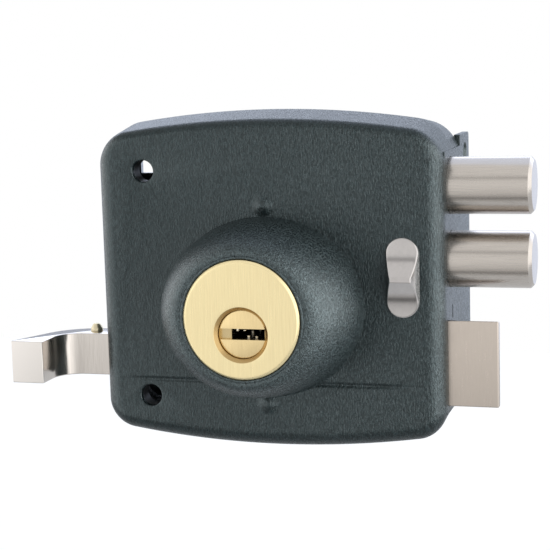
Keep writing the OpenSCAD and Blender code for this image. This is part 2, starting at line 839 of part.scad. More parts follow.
module bolt_screws() {
    color(zinc) for (z = bolt_rises) {
        bar_x(upright_x, upright_x + bolt_screw_l, bolt_depth, z, bolt_screw_r);
        difference() {
            bar_x(upright_x - bolt_screw_head_t, upright_x, bolt_depth, z, bolt_screw_head_r);
            block(upright_x - bolt_screw_head_t - 1, upright_x - bolt_screw_head_t / 2,
                bolt_depth - 2 * bolt_screw_r, bolt_depth + 2 * bolt_screw_r, z - screw_slot, z + screw_slot);
        }
    }
}

// Latch work

// The draw bar's section between two values of X, widened all round by a clearance
module strap(x0, x1, c)
    block(x0, x1, strap_front - strap_t - c, strap_front + c, strap_low - c, strap_low + strap_h + c);

module latch_bolt() {
    back = latch_front - latch_t;
    notch_low = latch_top + tongue_lift - snib_travel - notch_spare;
    color(nickel) difference() {
        translate([0, 0, latch_low]) linear_extrude(latch_h) polygon([
            [latch_x, -latch_front], [latch_tip, -latch_front], [latch_tip, latch_nose - latch_front],
            [right + gap, -back], [latch_x, -back]]);
        translate([latch_x - 1, 0, 0]) rotate([90, 0, 90]) linear_extrude(latch_in + latch_out + 2) polygon([
            [latch_land - latch_front, latch_top], [-back, latch_top - latch_rake],
            [1 - back, latch_top - latch_rake], [1 - back, latch_top + 1],
            [latch_land - latch_front, latch_top + 1]]);
        strap(latch_x - 1, latch_x + strap_in + strap_fit, strap_fit);
        for (x = [tongue_x, tongue_x + latch_out])
            block(x - gap, x + tongue_w + gap, back - 1, latch_front + 1, notch_low, latch_top + 1);
        post(latch_x + latch_pin_in, bar_mid, back - 1, latch_front + 1, latch_pin_r + snug);
    }
}

module latch_guide() {
    window = gap / 2;
    color(zinc) difference() {
        union() {
            block(guide_x, guide_x + guide_t, plate_t, latch_front + window + guide_wall,
                latch_low - window - guide_wall, latch_top + window + guide_wall);
            block(guide_x - guide_foot, guide_x, plate_t, plate_t + guide_wall, latch_low, latch_top);
        }
        block(guide_x - 1, guide_x + guide_t + 1, latch_front - latch_t - window, latch_front + window,
            latch_low - window, latch_top + window);
    }
}

module latch_pin() {
    color(zinc) post(latch_x + latch_pin_in, bar_mid, latch_front - latch_t, latch_front, latch_pin_r);
}

module draw_bar() {
    color(zinc) difference() {
        strap(left - strap_end, latch_x + strap_in, 0);
        post(latch_x + latch_pin_in, bar_mid, strap_front - strap_t - 1, strap_front + 1,
            latch_pin_r + snug);
        translate([handle_pin_x, strap_t / 2 - strap_front, strap_low - 1])
            cylinder(h = strap_h + 2, r = handle_pin_r + snug);
    }
}

// The tab runs back in a straight line that touches the outer sweep, which ends in the bar's back
module pull_handle() {
    outer = tab_x - tab_t;
    inner = left + bar_in;
    reach_x = sweep_x - outer;
    reach_d = tab_reach - bar_back - sweep_r;
    touch = atan2(reach_x, -reach_d) - acos(sweep_r / norm([reach_x, reach_d]));
    touch_point = [sweep_x - sweep_r * sin(touch), -bar_back - sweep_r * (1 - cos(touch))];
    color(nickel) difference() {
        translate([0, 0, bar_low]) linear_extrude(bar_h) {
            polygon([
                [outer, -tab_reach], [tab_x, -tab_reach], [tab_x, -bar_front], [inner, -bar_front],
                [inner, -bar_back], [sweep_x, -bar_back], touch_point]);
            intersection() {
                translate([sweep_x, -bar_back - sweep_r]) circle(sweep_r);
                polygon([
                    touch_point, [sweep_x - sweep_r * tan(touch / 2), -bar_back], [sweep_x, -bar_back],
                    [sweep_x, -bar_front]]);
            }
            difference() {
                translate([tab_x - 0.1, -bar_front - bend_r]) square(bend_r + 0.1);
                translate([tab_x + bend_r, -bar_front - bend_r]) circle(bend_r);
            }
        }
        strap(left - strap_end - strap_fit, inner + 1, strap_fit);
        translate([handle_pin_x, strap_t / 2 - strap_front, bar_low - 1])
            cylinder(h = bar_h + 2, r = handle_pin_r + snug);
    }
}

module handle_pin() {
    color(brass) translate([handle_pin_x, strap_t / 2 - strap_front, 0]) {
        translate([0, 0, bar_low]) cylinder(h = bar_h, r = handle_pin_r);
        translate([0, 0, bar_top]) rotate_extrude()
            polygon(concat([[0, 0]], dome(handle_pin_head_r, handle_pin_head_h)));
    }
}

module latch_spring() {
    color(spring_steel) translate([seat_x + spring_gap, -spring_d, spring_z]) rotate([0, 90, 0])
        coil(spring_r, spring_wire, latch_x - seat_x - 2 * spring_gap, spring_turns);
}

module spring_rod() {
    color(zinc) bar_x(seat_x, seat_x + rod_l, spring_d, spring_z, rod_r);
}

module spring_seat() {
    color(zinc) {
        block(seat_x - seat_t, seat_x, plate_t, spring_d + spring_r + 2,
            spring_z - seat_drop, strap_low - gap);
        block(seat_x - seat_t - guide_foot, seat_x - seat_t, plate_t, plate_t + guide_wall,
            spring_z - seat_drop, strap_low - gap);
    }
}

// Thumb slide

// Outline of the button at an inset: straight sides and half-round ends
function pill(inset) =
    let (r = snib_w / 2 - inset, c = snib_l / 2 - snib_w / 2, n = oval_steps / 2)
    [for (i = [0 : n]) [snib_x + r * cos(180 * i / n), snib_z + c + r * sin(180 * i / n)],
     for (i = [0 : n]) [snib_x - r * cos(180 * i / n), snib_z - c - r * sin(180 * i / n)]];

module snib_button() {
    low = case_d + snib_foot;
    color(nickel) {
        difference() {
            loft([ring(pill(0), low), ring(pill(snib_slope * snib_h), case_d + snib_h)]);
            for (s = [-1, 1])
                bar_x(snib_x - snib_w, snib_x + snib_w, case_d + scoop_low + scoop_r,
                    snib_z + s * (scoop_off + ridge_half), scoop_r);
        }
        difference() {
            block(snib_x - neck_w / 2, snib_x + neck_w / 2, pad_front, low + 0.5,
                snib_z - neck_h / 2, snib_z + neck_h / 2);
            for (s = [-1, 1])
                post(snib_x, snib_z + s * neck_h / 4, pad_front - 1, low - 0.3,
                    snib_rivet_r + snug);
        }
    }
}

module snib_slide() {
    half_w_pad = snib_w / 2 - pad_inset;
    half_l_pad = snib_l / 2 - pad_end;
    tongue_low = latch_top + tongue_lift;
    color(zinc) difference() {
        union() {
            block(snib_x - half_w_pad, snib_x + half_w_pad, pad_back, pad_front,
                snib_z - half_l_pad, snib_z + half_l_pad);
            block(tongue_x, snib_x, pad_back - arm_t + 0.5, pad_back + 0.5,
                tongue_low, tongue_low + arm_h);
            block(tongue_x, tongue_x + tongue_w, tongue_back, pad_back + 0.5, tongue_low, tongue_low + arm_h);
        }
        for (s = [-1, 1])
            post(snib_x, snib_z + s * neck_h / 4, pad_back - 1, pad_front + 1, snib_rivet_r + snug);
    }
}

module snib_rivets() {
    color(zinc) for (s = [-1, 1]) {
        post(snib_x, snib_z + s * neck_h / 4, pad_back, case_d + snib_foot - 0.4, snib_rivet_r);
        post(snib_x, snib_z + s * neck_h / 4, pad_back - 0.7, pad_back, 1.7 * snib_rivet_r);
    }
}

back_plate();
forend_plate();
forend_rivets();
cover();
cover_pillars();
cover_screws();
mount_sleeves();
cylinder_guard();
guard_rivets();
cylinder_body();
cylinder_screws();
driver_pins();
pin_springs();
chamber_plugs();
plug();
plug_clip();
key_pins();
drive_pinion();
bolt_carriage();
carriage_posts();
bolt_bushes();
upper_bolt();
lower_bolt();
bolt_screws();
latch_bolt();
latch_guide();
latch_pin();
draw_bar();
pull_handle();
handle_pin();
latch_spring();
spring_rod();
spring_seat();
snib_button();
snib_slide();
snib_rivets();
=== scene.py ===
# %% [markdown]
# # Dressing a rim box lock
# The lock is screwed to the face of a door. A painted case carries two round bolts, a sprung latch
# with a pull handle, a thumb slide, and a brass key cylinder in a domed guard. The CAD frame fixes
# every place and size. Here each piece that shows is worked out again as a smooth numpy surface,
# with the soft edges that plating and paint leave, and gets a finish made of shader nodes.

# %% The CAD frame
import json

import bmesh
import bpy
import numpy as np
from mathutils import Matrix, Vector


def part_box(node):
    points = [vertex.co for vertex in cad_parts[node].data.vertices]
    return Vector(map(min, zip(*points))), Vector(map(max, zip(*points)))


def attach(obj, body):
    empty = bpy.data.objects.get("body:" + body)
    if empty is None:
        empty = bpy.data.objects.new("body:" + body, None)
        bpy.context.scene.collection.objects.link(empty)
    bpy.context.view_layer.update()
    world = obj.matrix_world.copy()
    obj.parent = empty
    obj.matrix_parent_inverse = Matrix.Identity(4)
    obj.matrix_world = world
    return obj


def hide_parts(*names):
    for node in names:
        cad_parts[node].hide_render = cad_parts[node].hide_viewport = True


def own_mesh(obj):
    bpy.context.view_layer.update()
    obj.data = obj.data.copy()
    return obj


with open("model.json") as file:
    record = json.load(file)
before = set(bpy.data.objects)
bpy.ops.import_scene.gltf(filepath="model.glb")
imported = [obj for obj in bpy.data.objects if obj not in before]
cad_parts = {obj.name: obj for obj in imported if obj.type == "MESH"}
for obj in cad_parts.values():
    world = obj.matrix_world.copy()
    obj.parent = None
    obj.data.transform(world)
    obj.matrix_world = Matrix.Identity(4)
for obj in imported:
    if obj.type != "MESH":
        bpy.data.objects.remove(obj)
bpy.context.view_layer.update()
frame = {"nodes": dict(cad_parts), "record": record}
nodes = frame["nodes"]
MM = 0.001


def span(node):
    """A node's box in millimetres, as low and high values of x, of depth (minus y) and of z."""
    low, high = (np.array(corner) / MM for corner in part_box(node))
    return (low[0], high[0]), (-high[1], -low[1]), (low[2], high[2])


# %% [markdown]
# ## The camera
# The photograph was taken a little from the right and from above, with a long lens. The camera was
# found by fitting the corners and circles of the lock to the picture, so it is written down as an
# aim point, two angles, a small roll and a distance. Its three axes are worked out from the angles
# and put straight into the camera's matrix, so no tracking constraint is needed.

# %% Camera
PICTURE_PIXELS, FOCAL_PIXELS, SENSOR_MM, NEAREST = 550, 1546.94, 36.0, 0.01
AIM_MM, AIM_DISTANCE = (0.86, -25.0, 13.05), 0.5
AZIMUTH, ELEVATION, ROLL = 16.36, 8.55, -1.64
aim = np.array(AIM_MM) * MM
azimuth, elevation, roll = np.radians([AZIMUTH, ELEVATION, ROLL])
back = np.array([
    np.sin(azimuth) * np.cos(elevation), -np.cos(azimuth) * np.cos(elevation), np.sin(elevation)])
level = np.array([np.cos(azimuth), np.sin(azimuth), 0.0])
upright = np.cross(back, level)
across = level * np.cos(roll) + upright * np.sin(roll)
upward = upright * np.cos(roll) - level * np.sin(roll)


def placed(x_axis, y_axis, z_axis, origin):
    """A matrix whose columns are three axes and an origin."""
    matrix = np.eye(4)
    matrix[:3] = np.column_stack([x_axis, y_axis, z_axis, origin])
    return Matrix(matrix.tolist())


lens = bpy.data.cameras.new("photo_lens")
lens.sensor_width = SENSOR_MM
lens.lens = SENSOR_MM * FOCAL_PIXELS / PICTURE_PIXELS
lens.clip_start = NEAREST
photo_camera = bpy.data.objects.new("photo_camera", lens)
bpy.context.scene.collection.objects.link(photo_camera)
photo_camera.matrix_world = placed(across, upward, back, aim + AIM_DISTANCE * back)
bpy.context.scene.camera = photo_camera
bpy.context.scene.view_settings.view_transform = "Standard"
print("lens (mm):", round(lens.lens, 2))

# %% [markdown]
# ## Finishes
# A finish is a small tree of shader nodes on Object coordinates, so a pattern keeps its real size
# on every piece. The helpers below put a noise, a range, a colour ramp or a relief into such a tree
# in one call.


# %% Helpers for shader trees
def finish(name, metallic, roughness, colour, specular=0.5):
    """A new material with one principled shader; the constants go straight onto its sockets."""
    made = bpy.data.materials.new(name)
    made.use_nodes = True
    shader = made.node_tree.nodes["Principled BSDF"]
    shader.inputs["Metallic"].default_value = metallic
    shader.inputs["Roughness"].default_value = roughness
    shader.inputs["Base Color"].default_value = (*colour, 1.0)
    shader.inputs["Specular IOR Level"].default_value = specular
    return made, made.node_tree, shader


def put(tree, kind, **values):
    """A new shader node, with some of its sockets or properties set by name."""
    made = tree.nodes.new(kind)
    for key, value in values.items():
        if key in made.inputs:
            made.inputs[key].default_value = value
        else:
            setattr(made, key, value)
    return made


def grain(tree, scale, turn=0.0, **noise):
    """A noise whose features repeat scale times per metre along X, Y and Z, turned in the face."""
    where = put(tree, "ShaderNodeTexCoord")
    stretch = put(tree, "ShaderNodeMapping", Scale=scale, Rotation=(0.0, turn, 0.0))
    cloud = put(tree, "ShaderNodeTexNoise", Scale=1.0, **noise)
    tree.links.new(where.outputs["Object"], stretch.inputs["Vector"])
    tree.links.new(stretch.outputs["Vector"], cloud.inputs["Vector"])
    return cloud.outputs["Fac"]


def spread(tree, source, low, high, target=None, bounds=(0.3, 0.7)):
    """Maps a value from bounds to the range low to high, and links it to a socket if given."""
    ranged = put(tree, "ShaderNodeMapRange")
    for socket, value in zip(("From Min", "From Max", "To Min", "To Max"), (*bounds, low, high)):
        ranged.inputs[socket].default_value = value
    tree.links.new(source, ranged.inputs["Value"])
    if target is not None:
        tree.links.new(ranged.outputs["Result"], target)
    return ranged.outputs["Result"]


def tint(tree, source, dark, light, target, bounds=(0.3, 0.7)):
    """Mixes two colours by a noise value and links the result to a colour socket."""
    ramp = put(tree, "ShaderNodeValToRGB")
    for element, place, colour in zip(ramp.color_ramp.elements, bounds, (dark, light)):
        element.position, element.color = place, (*colour, 1.0)
    tree.links.new(source, ramp.inputs["Fac"])
    tree.links.new(ramp.outputs["Color"], target)


def emboss(tree, source, depth, shader, strength=1.0, below=None):
    """Turns a value into relief of the given depth in metres, over the relief below it."""
    relief = put(tree, "ShaderNodeBump", Distance=depth)
    if isinstance(strength, float):
        relief.inputs["Strength"].default_value = strength
    else:
        tree.links.new(strength, relief.inputs["Strength"])
    tree.links.new(source, relief.inputs["Height"])
    if below is not None:
        tree.links.new(below, relief.inputs["Normal"])
    tree.links.new(relief.outputs["Normal"], shader.inputs["Normal"])
    return relief.outputs["Normal"]


# %% [markdown]
# The paint is almost black and half glossy: its lighter edges in the photograph are the white
# studio, reflected. Its surface has a fine wrinkle whose folds run mostly up and down, so the noise
# is stretched along Z before it drives the bump. The same noise colours the valleys between the
# folds darker, as painted shade. Broad swells lie under the folds, and the folds are calmer towards
# the hinge side. The guard's coat is deeper and glossier than the cover's, and its lighter colour
# is painted light for the light its dome catches.

# %% Wrinkle paint
PAINT_ROUGH, GAP_ROUGH, CREST_ROUGH = 0.34, 0.38, 0.20
GLOSS_TINT, FOLD_SHADE_COLOUR, FOLD_SHADE_BOUNDS = (0.82, 0.97, 1.0, 1.0), (0.000, 0.001, 0.001), (0.42, 0.60)
FOLDS_ACROSS, FOLD_SLANT = 2000.0, 0.12
SWELL_SCALE, SWELL_DEPTH, SWELL_STRENGTH = (330.0, 330.0, 240.0), 0.00018, 0.8
CALM_STRENGTH, FULL_STRENGTH, CALM_BOUNDS = 0.36, 1.0, (-0.045, 0.020)


def wrinkle_paint(name, folds_up, depth, gloss, crest):
    """Near-black paint: broad swells under folds of a given depth, calmer at the hinge side."""
    made, tree, shader = finish(name, 0.0, PAINT_ROUGH, crest, gloss)
    shader.inputs["Specular Tint"].default_value = GLOSS_TINT
    folds = grain(
        tree, (FOLDS_ACROSS, FOLDS_ACROSS, folds_up), FOLD_SLANT,
        Detail=3.0, Roughness=0.62, Distortion=0.6)
    swells = grain(tree, SWELL_SCALE, Detail=2.0, Roughness=0.5)
    # Painted shade: the folds colour their valleys darker than their crests.
    tint(tree, folds, FOLD_SHADE_COLOUR, crest, shader.inputs["Base Color"], FOLD_SHADE_BOUNDS)
    spread(tree, folds, GAP_ROUGH, CREST_ROUGH, shader.inputs["Roughness"])
    where = put(tree, "ShaderNodeTexCoord")
    sides = put(tree, "ShaderNodeSeparateXYZ")
    tree.links.new(where.outputs["Object"], sides.inputs["Vector"])
    relief = spread(tree, sides.outputs["X"], CALM_STRENGTH, FULL_STRENGTH, bounds=CALM_BOUNDS)
    broad = emboss(tree, swells, SWELL_DEPTH, shader, SWELL_STRENGTH)
    emboss(tree, folds, depth, shader, relief, broad)
    return made


paint = wrinkle_paint("wrinkle_paint", 640.0, 0.00028, 0.40, (0.007, 0.0115, 0.0125))
# Painted light: the guard's crest colour is lighter than the cover's, for the light its dome
# catches.
guard_paint = wrinkle_paint("guard_paint", 1300.0, 0.00034, 0.50, (0.023, 0.032, 0.034))
print("paints:", paint.name, guard_paint.name)

# %% [markdown]
# The metals share one recipe. A brush or a lathe leaves fine lines, so a noise stretched along the
# brushing shades the colour, the roughness and a very shallow relief. The table gives each metal
# its colour, roughness, lines per metre along X, Y and Z, contrast and relief in metres.

# %% Plated and bare metals
EVEN = (900.0, 900.0, 900.0)
METALS = {
    "pin_brass": ((0.72, 0.64, 0.45), 0.32, EVEN, 0.06, 6e-6),
    "turned_brass": ((0.86, 0.70, 0.39), 0.24, EVEN, 0.04, 6e-6),
    "plug_brass": ((0.90, 0.705, 0.375), 0.30, (3600.0, 3600.0, 240.0), 0.06, 8e-6),
    "disc_brass": ((0.945, 0.795, 0.46), 0.30, (4200.0, 4200.0, 90.0), 0.07, 1e-5),
    "bolt_nickel": ((0.57, 0.525, 0.48), 0.25, (120.0, 2600.0, 2600.0), 0.05, 6e-6),
    "latch_nickel": ((0.60, 0.53, 0.465), 0.30, (1500.0, 1500.0, 140.0), 0.025, 1e-6),
    "slide_nickel": ((0.54, 0.515, 0.50), 0.17, (700.0, 700.0, 500.0), 0.03, 2e-6),
    "handle_nickel": ((0.64, 0.595, 0.55), 0.18, (2300.0, 2300.0, 110.0), 0.06, 4e-6),
    "pin_nickel": ((0.80, 0.74, 0.60), 0.30, EVEN, 0.06, 4e-6),
    "zinc_steel": ((0.36, 0.375, 0.39), 0.38, (700.0, 700.0, 700.0), 0.12, 1e-5),
    "spring_wire": ((0.17, 0.18, 0.195), 0.34, EVEN, 0.15, 8e-6),
}


def brushed(name, colour, roughness, scale, contrast, depth):
    """Bright metal with fine lines: dark ones are duller, light ones sleeker, by a contrast."""
    made, tree, shader = finish(name, 1.0, roughness, colour)
    lines = grain(tree, scale, Detail=4.0, Roughness=0.65)
    dark = tuple(c * (1.0 - contrast) for c in colour)
    light = tuple(min(1.0, c * (1.0 + contrast)) for c in colour)
    tint(tree, lines, dark, light, shader.inputs["Base Color"])
    spread(tree, lines, roughness * 1.2, roughness * 0.85, shader.inputs["Roughness"])
    emboss(tree, lines, depth, shader, 0.5)
    return made


metal = {name: brushed(name, *values) for name, values in METALS.items()}
print("metals:", len(metal))

# %% [markdown]
# Three metals carry painted light. Painted shade makes the plug black inside its keyway and the
# disc darker in the bevel round the plug, and a painted highlight makes the handle's tab lighter.

# %% Painted shade and highlight on the metals
WHOLE, ROUND_AXIS = (1.0, 1.0, 1.0), (1.0, 0.0, 1.0)
# Painted shade: the plug turns near black deep in its keyway, where shade falls.
KEYWAY_SHADE_BOUNDS, KEYWAY_SHADE_COLOUR = (-0.0588, -0.0565), (0.012, 0.010, 0.008)
# Painted shade: the disc turns darker brown in the bevel round the plug's mouth.
BEVEL_SHADE_BOUNDS, BEVEL_SHADE_COLOUR = (0.00872, 0.00855), (0.50, 0.345, 0.15)
# Painted highlight: the front of the handle's tab is lighter, for the reflection it shows.
TAB_HIGHLIGHT_BOUNDS, TAB_HIGHLIGHT_COLOUR = (-0.0362, -0.0366), (0.78, 0.74, 0.70)


def place_of(tree, scale, output):
    """Object coordinates times a scale, as the length of the vector or as one of its parts."""
    where = put(tree, "ShaderNodeTexCoord")
    scaled = put(tree, "ShaderNodeVectorMath", operation="MULTIPLY")
    scaled.inputs[1].default_value = scale
    tree.links.new(where.outputs["Object"], scaled.inputs[0])
    if output == "length":
        measure = put(tree, "ShaderNodeVectorMath", operation="LENGTH")
        tree.links.new(scaled.outputs["Vector"], measure.inputs[0])
        return measure.outputs["Value"]
    parts = put(tree, "ShaderNodeSeparateXYZ")
    tree.links.new(scaled.outputs["Vector"], parts.inputs["Vector"])
    return parts.outputs[output]


def paint_light_on(name, scale, output, bounds, colour):
    """Mixes a painted shade or highlight into a metal's colour, by a place value that runs between
    two bounds in metres.
    """
    tree = metal[name].node_tree
    shader = tree.nodes["Principled BSDF"]
    mix = put(tree, "ShaderNodeMix", data_type="RGBA")
    tree.links.new(shader.inputs["Base Color"].links[0].from_socket, mix.inputs["A"])
    mix.inputs["B"].default_value = (*colour, 1.0)
    spread(tree, place_of(tree, scale, output), 0.0, 1.0, mix.inputs["Factor"], bounds)
    tree.links.new(mix.outputs["Result"], shader.inputs["Base Color"])


# Painted shade in the keyway and the bevel, and a painted highlight on the tab's front.
paint_light_on("plug_brass", WHOLE, "Y", KEYWAY_SHADE_BOUNDS, KEYWAY_SHADE_COLOUR)
paint_light_on("disc_brass", ROUND_AXIS, "length", BEVEL_SHADE_BOUNDS, BEVEL_SHADE_COLOUR)
paint_light_on("handle_nickel", WHOLE, "Y", TAB_HIGHLIGHT_BOUNDS, TAB_HIGHLIGHT_COLOUR)
print("finishes:", len(bpy.data.materials))

# %% [markdown]
# ## Surfaces as arrays
# Every new piece is a grid of points: rows of rings along a profile, or rows of outlines along an
# edge. The rings are computed as whole arrays and joined by quads. Depth is counted from the door
# towards the viewer, so depth d lies at y = -d, as in the CAD source.


# %% Grids, rings and pieces
def quads(rows, columns, wrap_rows=False, wrap_columns=True):
    """Vertex numbers of the quads between neighbouring rows; a wrapped row closes on itself."""
    row = np.arange(rows if wrap_rows else rows - 1)[:, None]
    column = np.arange(columns if wrap_columns else columns - 1)[None, :]
    here, there = row * columns, (row + 1) % rows * columns
    beside = (column + 1) % columns
    corners = np.stack([here + column, here + beside, there + beside, there + column], -1)
    return corners.reshape(-1, 4).tolist()


def shell(rings, closed_rows=False):
    """Points and faces of a row of rings; both ends are capped, unless the rows close in a loop."""
    rings = np.asarray(rings, float)
    rows, columns = rings.shape[:2]
    faces = quads(rows, columns, closed_rows)
    if not closed_rows:
        faces += [list(range(columns)), list(range((rows - 1) * columns, rows * columns))]
    return rings.reshape(-1, 3), faces


def joined(*parts):
    """Several sets of points and faces as one: vertex numbers move up by the points before them."""
    starts = np.cumsum([0] + [len(points) for points, _ in parts])
    faces = [
        (start + np.array(face)).tolist()
        for start, (_, some) in zip(starts, parts) for face in some]
    return np.vstack([points for points, _ in parts]), faces


def mesh_object(name, points, faces, merge=1e-4):
    """A mesh object at the origin from points in millimetres: poles merged, faces outwards."""
    mesh = bpy.data.meshes.new(name)
    mesh.from_pydata((np.asarray(points) * MM).tolist(), [], faces)
    work = bmesh.new()
    work.from_mesh(mesh)
    bmesh.ops.remove_doubles(work, verts=work.verts, dist=merge * MM)
    bmesh.ops.recalc_face_normals(work, faces=work.faces)
    work.to_mesh(mesh)
    work.free()
    made = bpy.data.objects.new(name, mesh)
    bpy.context.scene.collection.objects.link(made)
    return made


def carve(body, *cutters):
    """Takes the cutters, given as points and faces, out of the body one after another."""
    for points, faces in cutters:
        cutter = mesh_object("cutter", points, faces)
        tool = body.modifiers.new("carve", "BOOLEAN")
        tool.operation, tool.solver, tool.object = "DIFFERENCE", "EXACT", cutter
        worked = body.evaluated_get(bpy.context.evaluated_depsgraph_get())
        carved = bpy.data.meshes.new_from_object(worked)
        body.modifiers.clear()
        body.data = carved
        bpy.data.objects.remove(cutter)
    return body


def dress(made, material, body, slot, *stands_for, sharp=32.0):
    """Gives a piece its finish and smooth faces, and hands it to the CAD body that carries it."""
    made.data.materials.clear()
    made.data.materials.append(material)
    made.data.shade_smooth()
    made.data.set_sharp_from_angle(angle=np.radians(sharp))
    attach(made, body)
    if stands_for:
        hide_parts(*stands_for)
    print(f"{made.name}: {len(made.data.polygons)} faces on {body}")
    return made


# %% [markdown]
# Most parts of a lock are turned on a lathe or cut from flat stock. So a few shapes are enough:
# rings turned about an axis, which can lie along X or stand along Z, outlines with round corners,
# and slabs of such an outline with rounded edges.


# %% Turned and straight shapes
def turned(profile, centre=(0.0, 0.0), sides=96):
    """Rings about an axis along the depth; a row is radius, depth and, if given, centre height."""
    profile = np.asarray(profile, float)
    angle = np.linspace(0.0, 2.0 * np.pi, sides, endpoint=False)
    radius, depth = profile[:, :1], profile[:, 1:2]
    lift = profile[:, 2:3] if profile.shape[1] > 2 else np.zeros_like(depth)
    return np.stack([
        centre[0] + radius * np.cos(angle),
        -depth + 0.0 * angle,
        centre[1] + lift + radius * np.sin(angle)], -1)


def lying(rings, y, z):
    """Turned rings laid along X about an axis at y and z, so that depth becomes x."""
    return np.stack([-rings[..., 1], y + rings[..., 0], z + rings[..., 2]], -1)


def standing(rings, x, y):
    """Turned rings stood along Z about an axis at x and y, so that depth becomes z."""
    return np.stack([x + rings[..., 0], y + rings[..., 2], -rings[..., 1]], -1)


def at_depth(outline, depth):
    """A flat outline in x and z, set at one depth."""
    return np.column_stack([outline[:, 0], np.full(len(outline), -depth), outline[:, 1]])


def eased(corners, radii, steps=6, closed=True):
    """An outline with arcs for corners: an arc blends its end spokes by the sine of the angle."""
    corners = np.asarray(corners, float)
    radii = np.broadcast_to(np.asarray(radii, float), len(corners))[:, None]
    to_last = np.roll(corners, 1, 0) - corners
    to_next = np.roll(corners, -1, 0) - corners
    to_last /= np.linalg.norm(to_last, axis=1, keepdims=True)
    to_next /= np.linalg.norm(to_next, axis=1, keepdims=True)
    half = np.arccos(np.clip((to_last * to_next).sum(1, keepdims=True), -1.0, 1.0)) / 2.0
    middle = to_last + to_next
    middle /= np.maximum(np.linalg.norm(middle, axis=1, keepdims=True), 1e-9)
    hub = corners + middle * radii / np.sin(half)
    first = corners + to_last * radii / np.tan(half) - hub
    last = corners + to_next * radii / np.tan(half) - hub
    sweep = (np.pi - 2.0 * half)[:, :, None]
    part = np.linspace(0.0, 1.0, steps)[None, :, None]
    ends = np.sin((1.0 - part) * sweep) * first[:, None] + np.sin(part * sweep) * last[:, None]
    points = hub[:, None] + ends / np.sin(sweep)
    if not closed:
        return np.vstack([corners[:1], points[1:-1].reshape(-1, 2), corners[-1:]])
    return points.reshape(-1, 2)


def inward(outline, distance):
    """An outline moved inwards along its normals, which are its chords turned by a right angle."""
    chord = np.roll(outline, -1, 0) - np.roll(outline, 1, 0)
    normal = np.stack([chord[:, 1], -chord[:, 0]], 1)
    normal /= np.maximum(np.linalg.norm(normal, axis=1, keepdims=True), 1e-9)
    x, z = outline.T
    area = (x * np.roll(z, -1) - np.roll(x, -1) * z).sum()
    return outline - np.sign(area) * normal * distance


def slab(outline, low, high, edge, axis, steps=5):
    """Rings of a flat outline carried from low to high along an axis, with quarter-round edges."""
    turn = np.linspace(0.0, np.pi / 2.0, steps)
    rise, run = edge * (1.0 - np.cos(turn)), edge * (1.0 - np.sin(turn))
    inset = np.concatenate([run, rise])
    height = np.concatenate([low + rise, high - edge + edge * np.sin(turn)])
    flat = np.stack([inward(outline, d) for d in inset])
    raised = np.broadcast_to(height[:, None, None], flat.shape[:2] + (1,))
    order = {"X": (2, 0, 1), "Y": (0, 2, 1), "Z": (0, 1, 2)}[axis]
    return np.concatenate([flat, raised], -1)[..., order]


def block(x, depth, z):
    """Points and faces of a plain block between two values of x, depth and z, used as a cutter."""
    outline = np.array([(x[0], -depth[1]), (x[1], -depth[1]), (x[1], -depth[0]), (x[0], -depth[0])])
    return shell([np.column_stack([outline, np.full(4, h)]) for h in z])


# %% [markdown]
# ## The cover
# The cover is a pressed shell: a rectangle with round corners whose long edges bow outwards as a
# parabola, and a rounded front edge. Its upper wall has a slight crest, so a strip of it shows from
# the front as a pale band. One loft runs over the inside, round the back rim and over the outside,
# so the shell is a closed sheet.

# %% Cover outline
(LEFT, RIGHT), (_, CASE_D), (LOW, TOP) = span("cover")
BOW, TOP_CORNER, LOW_CORNER, LEAST_CORNER = 5.2, 10.0, 8.5, 0.6
EDGE, SHEET = 5.5, 1.6
HALF_W, HALF_H = (RIGHT - LEFT) / 2.0, (TOP - LOW) / 2.0
MIDDLE = np.array([(RIGHT + LEFT) / 2.0, (TOP + LOW) / 2.0])
WALL_D = CASE_D - EDGE
WALL_ROWS = np.array([0.0, 6.0, 12.0, 15.5, 17.0, 18.5, 22.0, 26.0])
CREST_D, CREST_FALL, DOOR_FALL, LOWER_FALL = 17.0, 0.5, 1.7, 2.2
BROW_D, BROW_R, BROW_FALL = 31.0, 3.55, 2.2


def upper_fall(depth):
    """Fall of the upper wall from its crest: straight to the door and to the brow, then an arc."""
    door = DOOR_FALL * np.clip(1.0 - depth / CREST_D, 0.0, None)
    brow = BROW_FALL * np.clip((depth - CREST_D) / (BROW_D - CREST_D), 0.0, 1.0)
    tilt = np.arctan(BROW_FALL / (BROW_D - CREST_D))
    over = np.clip((depth - CASE_D + BROW_R) / BROW_R, np.sin(tilt), 1.0)
    return CREST_FALL + door + brow + BROW_R * (np.cos(tilt) - np.sqrt(1.0 - over ** 2))


def lower_fall(depth):
    """Fall of the lower wall towards the door, in a straight line."""
    return LOWER_FALL * np.clip(1.0 - depth / WALL_D, 0.0, None)


def case_rim(inset, upper, lower, steps=14, run=36):
    """A round-cornered rectangle plus bow times one minus the squared share of the half width."""
    w, top, low = HALF_W - inset, HALF_H - BOW - upper, HALF_H - BOW - lower
    corners = np.array([LOW_CORNER, TOP_CORNER, TOP_CORNER, LOW_CORNER])
    radii = np.maximum(corners - inset, LEAST_CORNER)
    plain = eased([(w, -low), (w, top), (-w, top), (-w, -low)], radii, steps)
    share = np.linspace(0.0, 1.0, run + 1)[1:-1, None]
    right_top, left_top, left_low, right_low = plain[[2 * steps - 1, 2 * steps, -1, 0]]
    outline = np.vstack([
        plain[:2 * steps], right_top + (left_top - right_top) * share,
        plain[2 * steps:], left_low + (right_low - left_low) * share])
    rise = BOW * (1.0 - (outline[:, :1] / HALF_W) ** 2) * np.sign(outline[:, 1:])
    return outline + MIDDLE + np.hstack([0.0 * rise, rise])


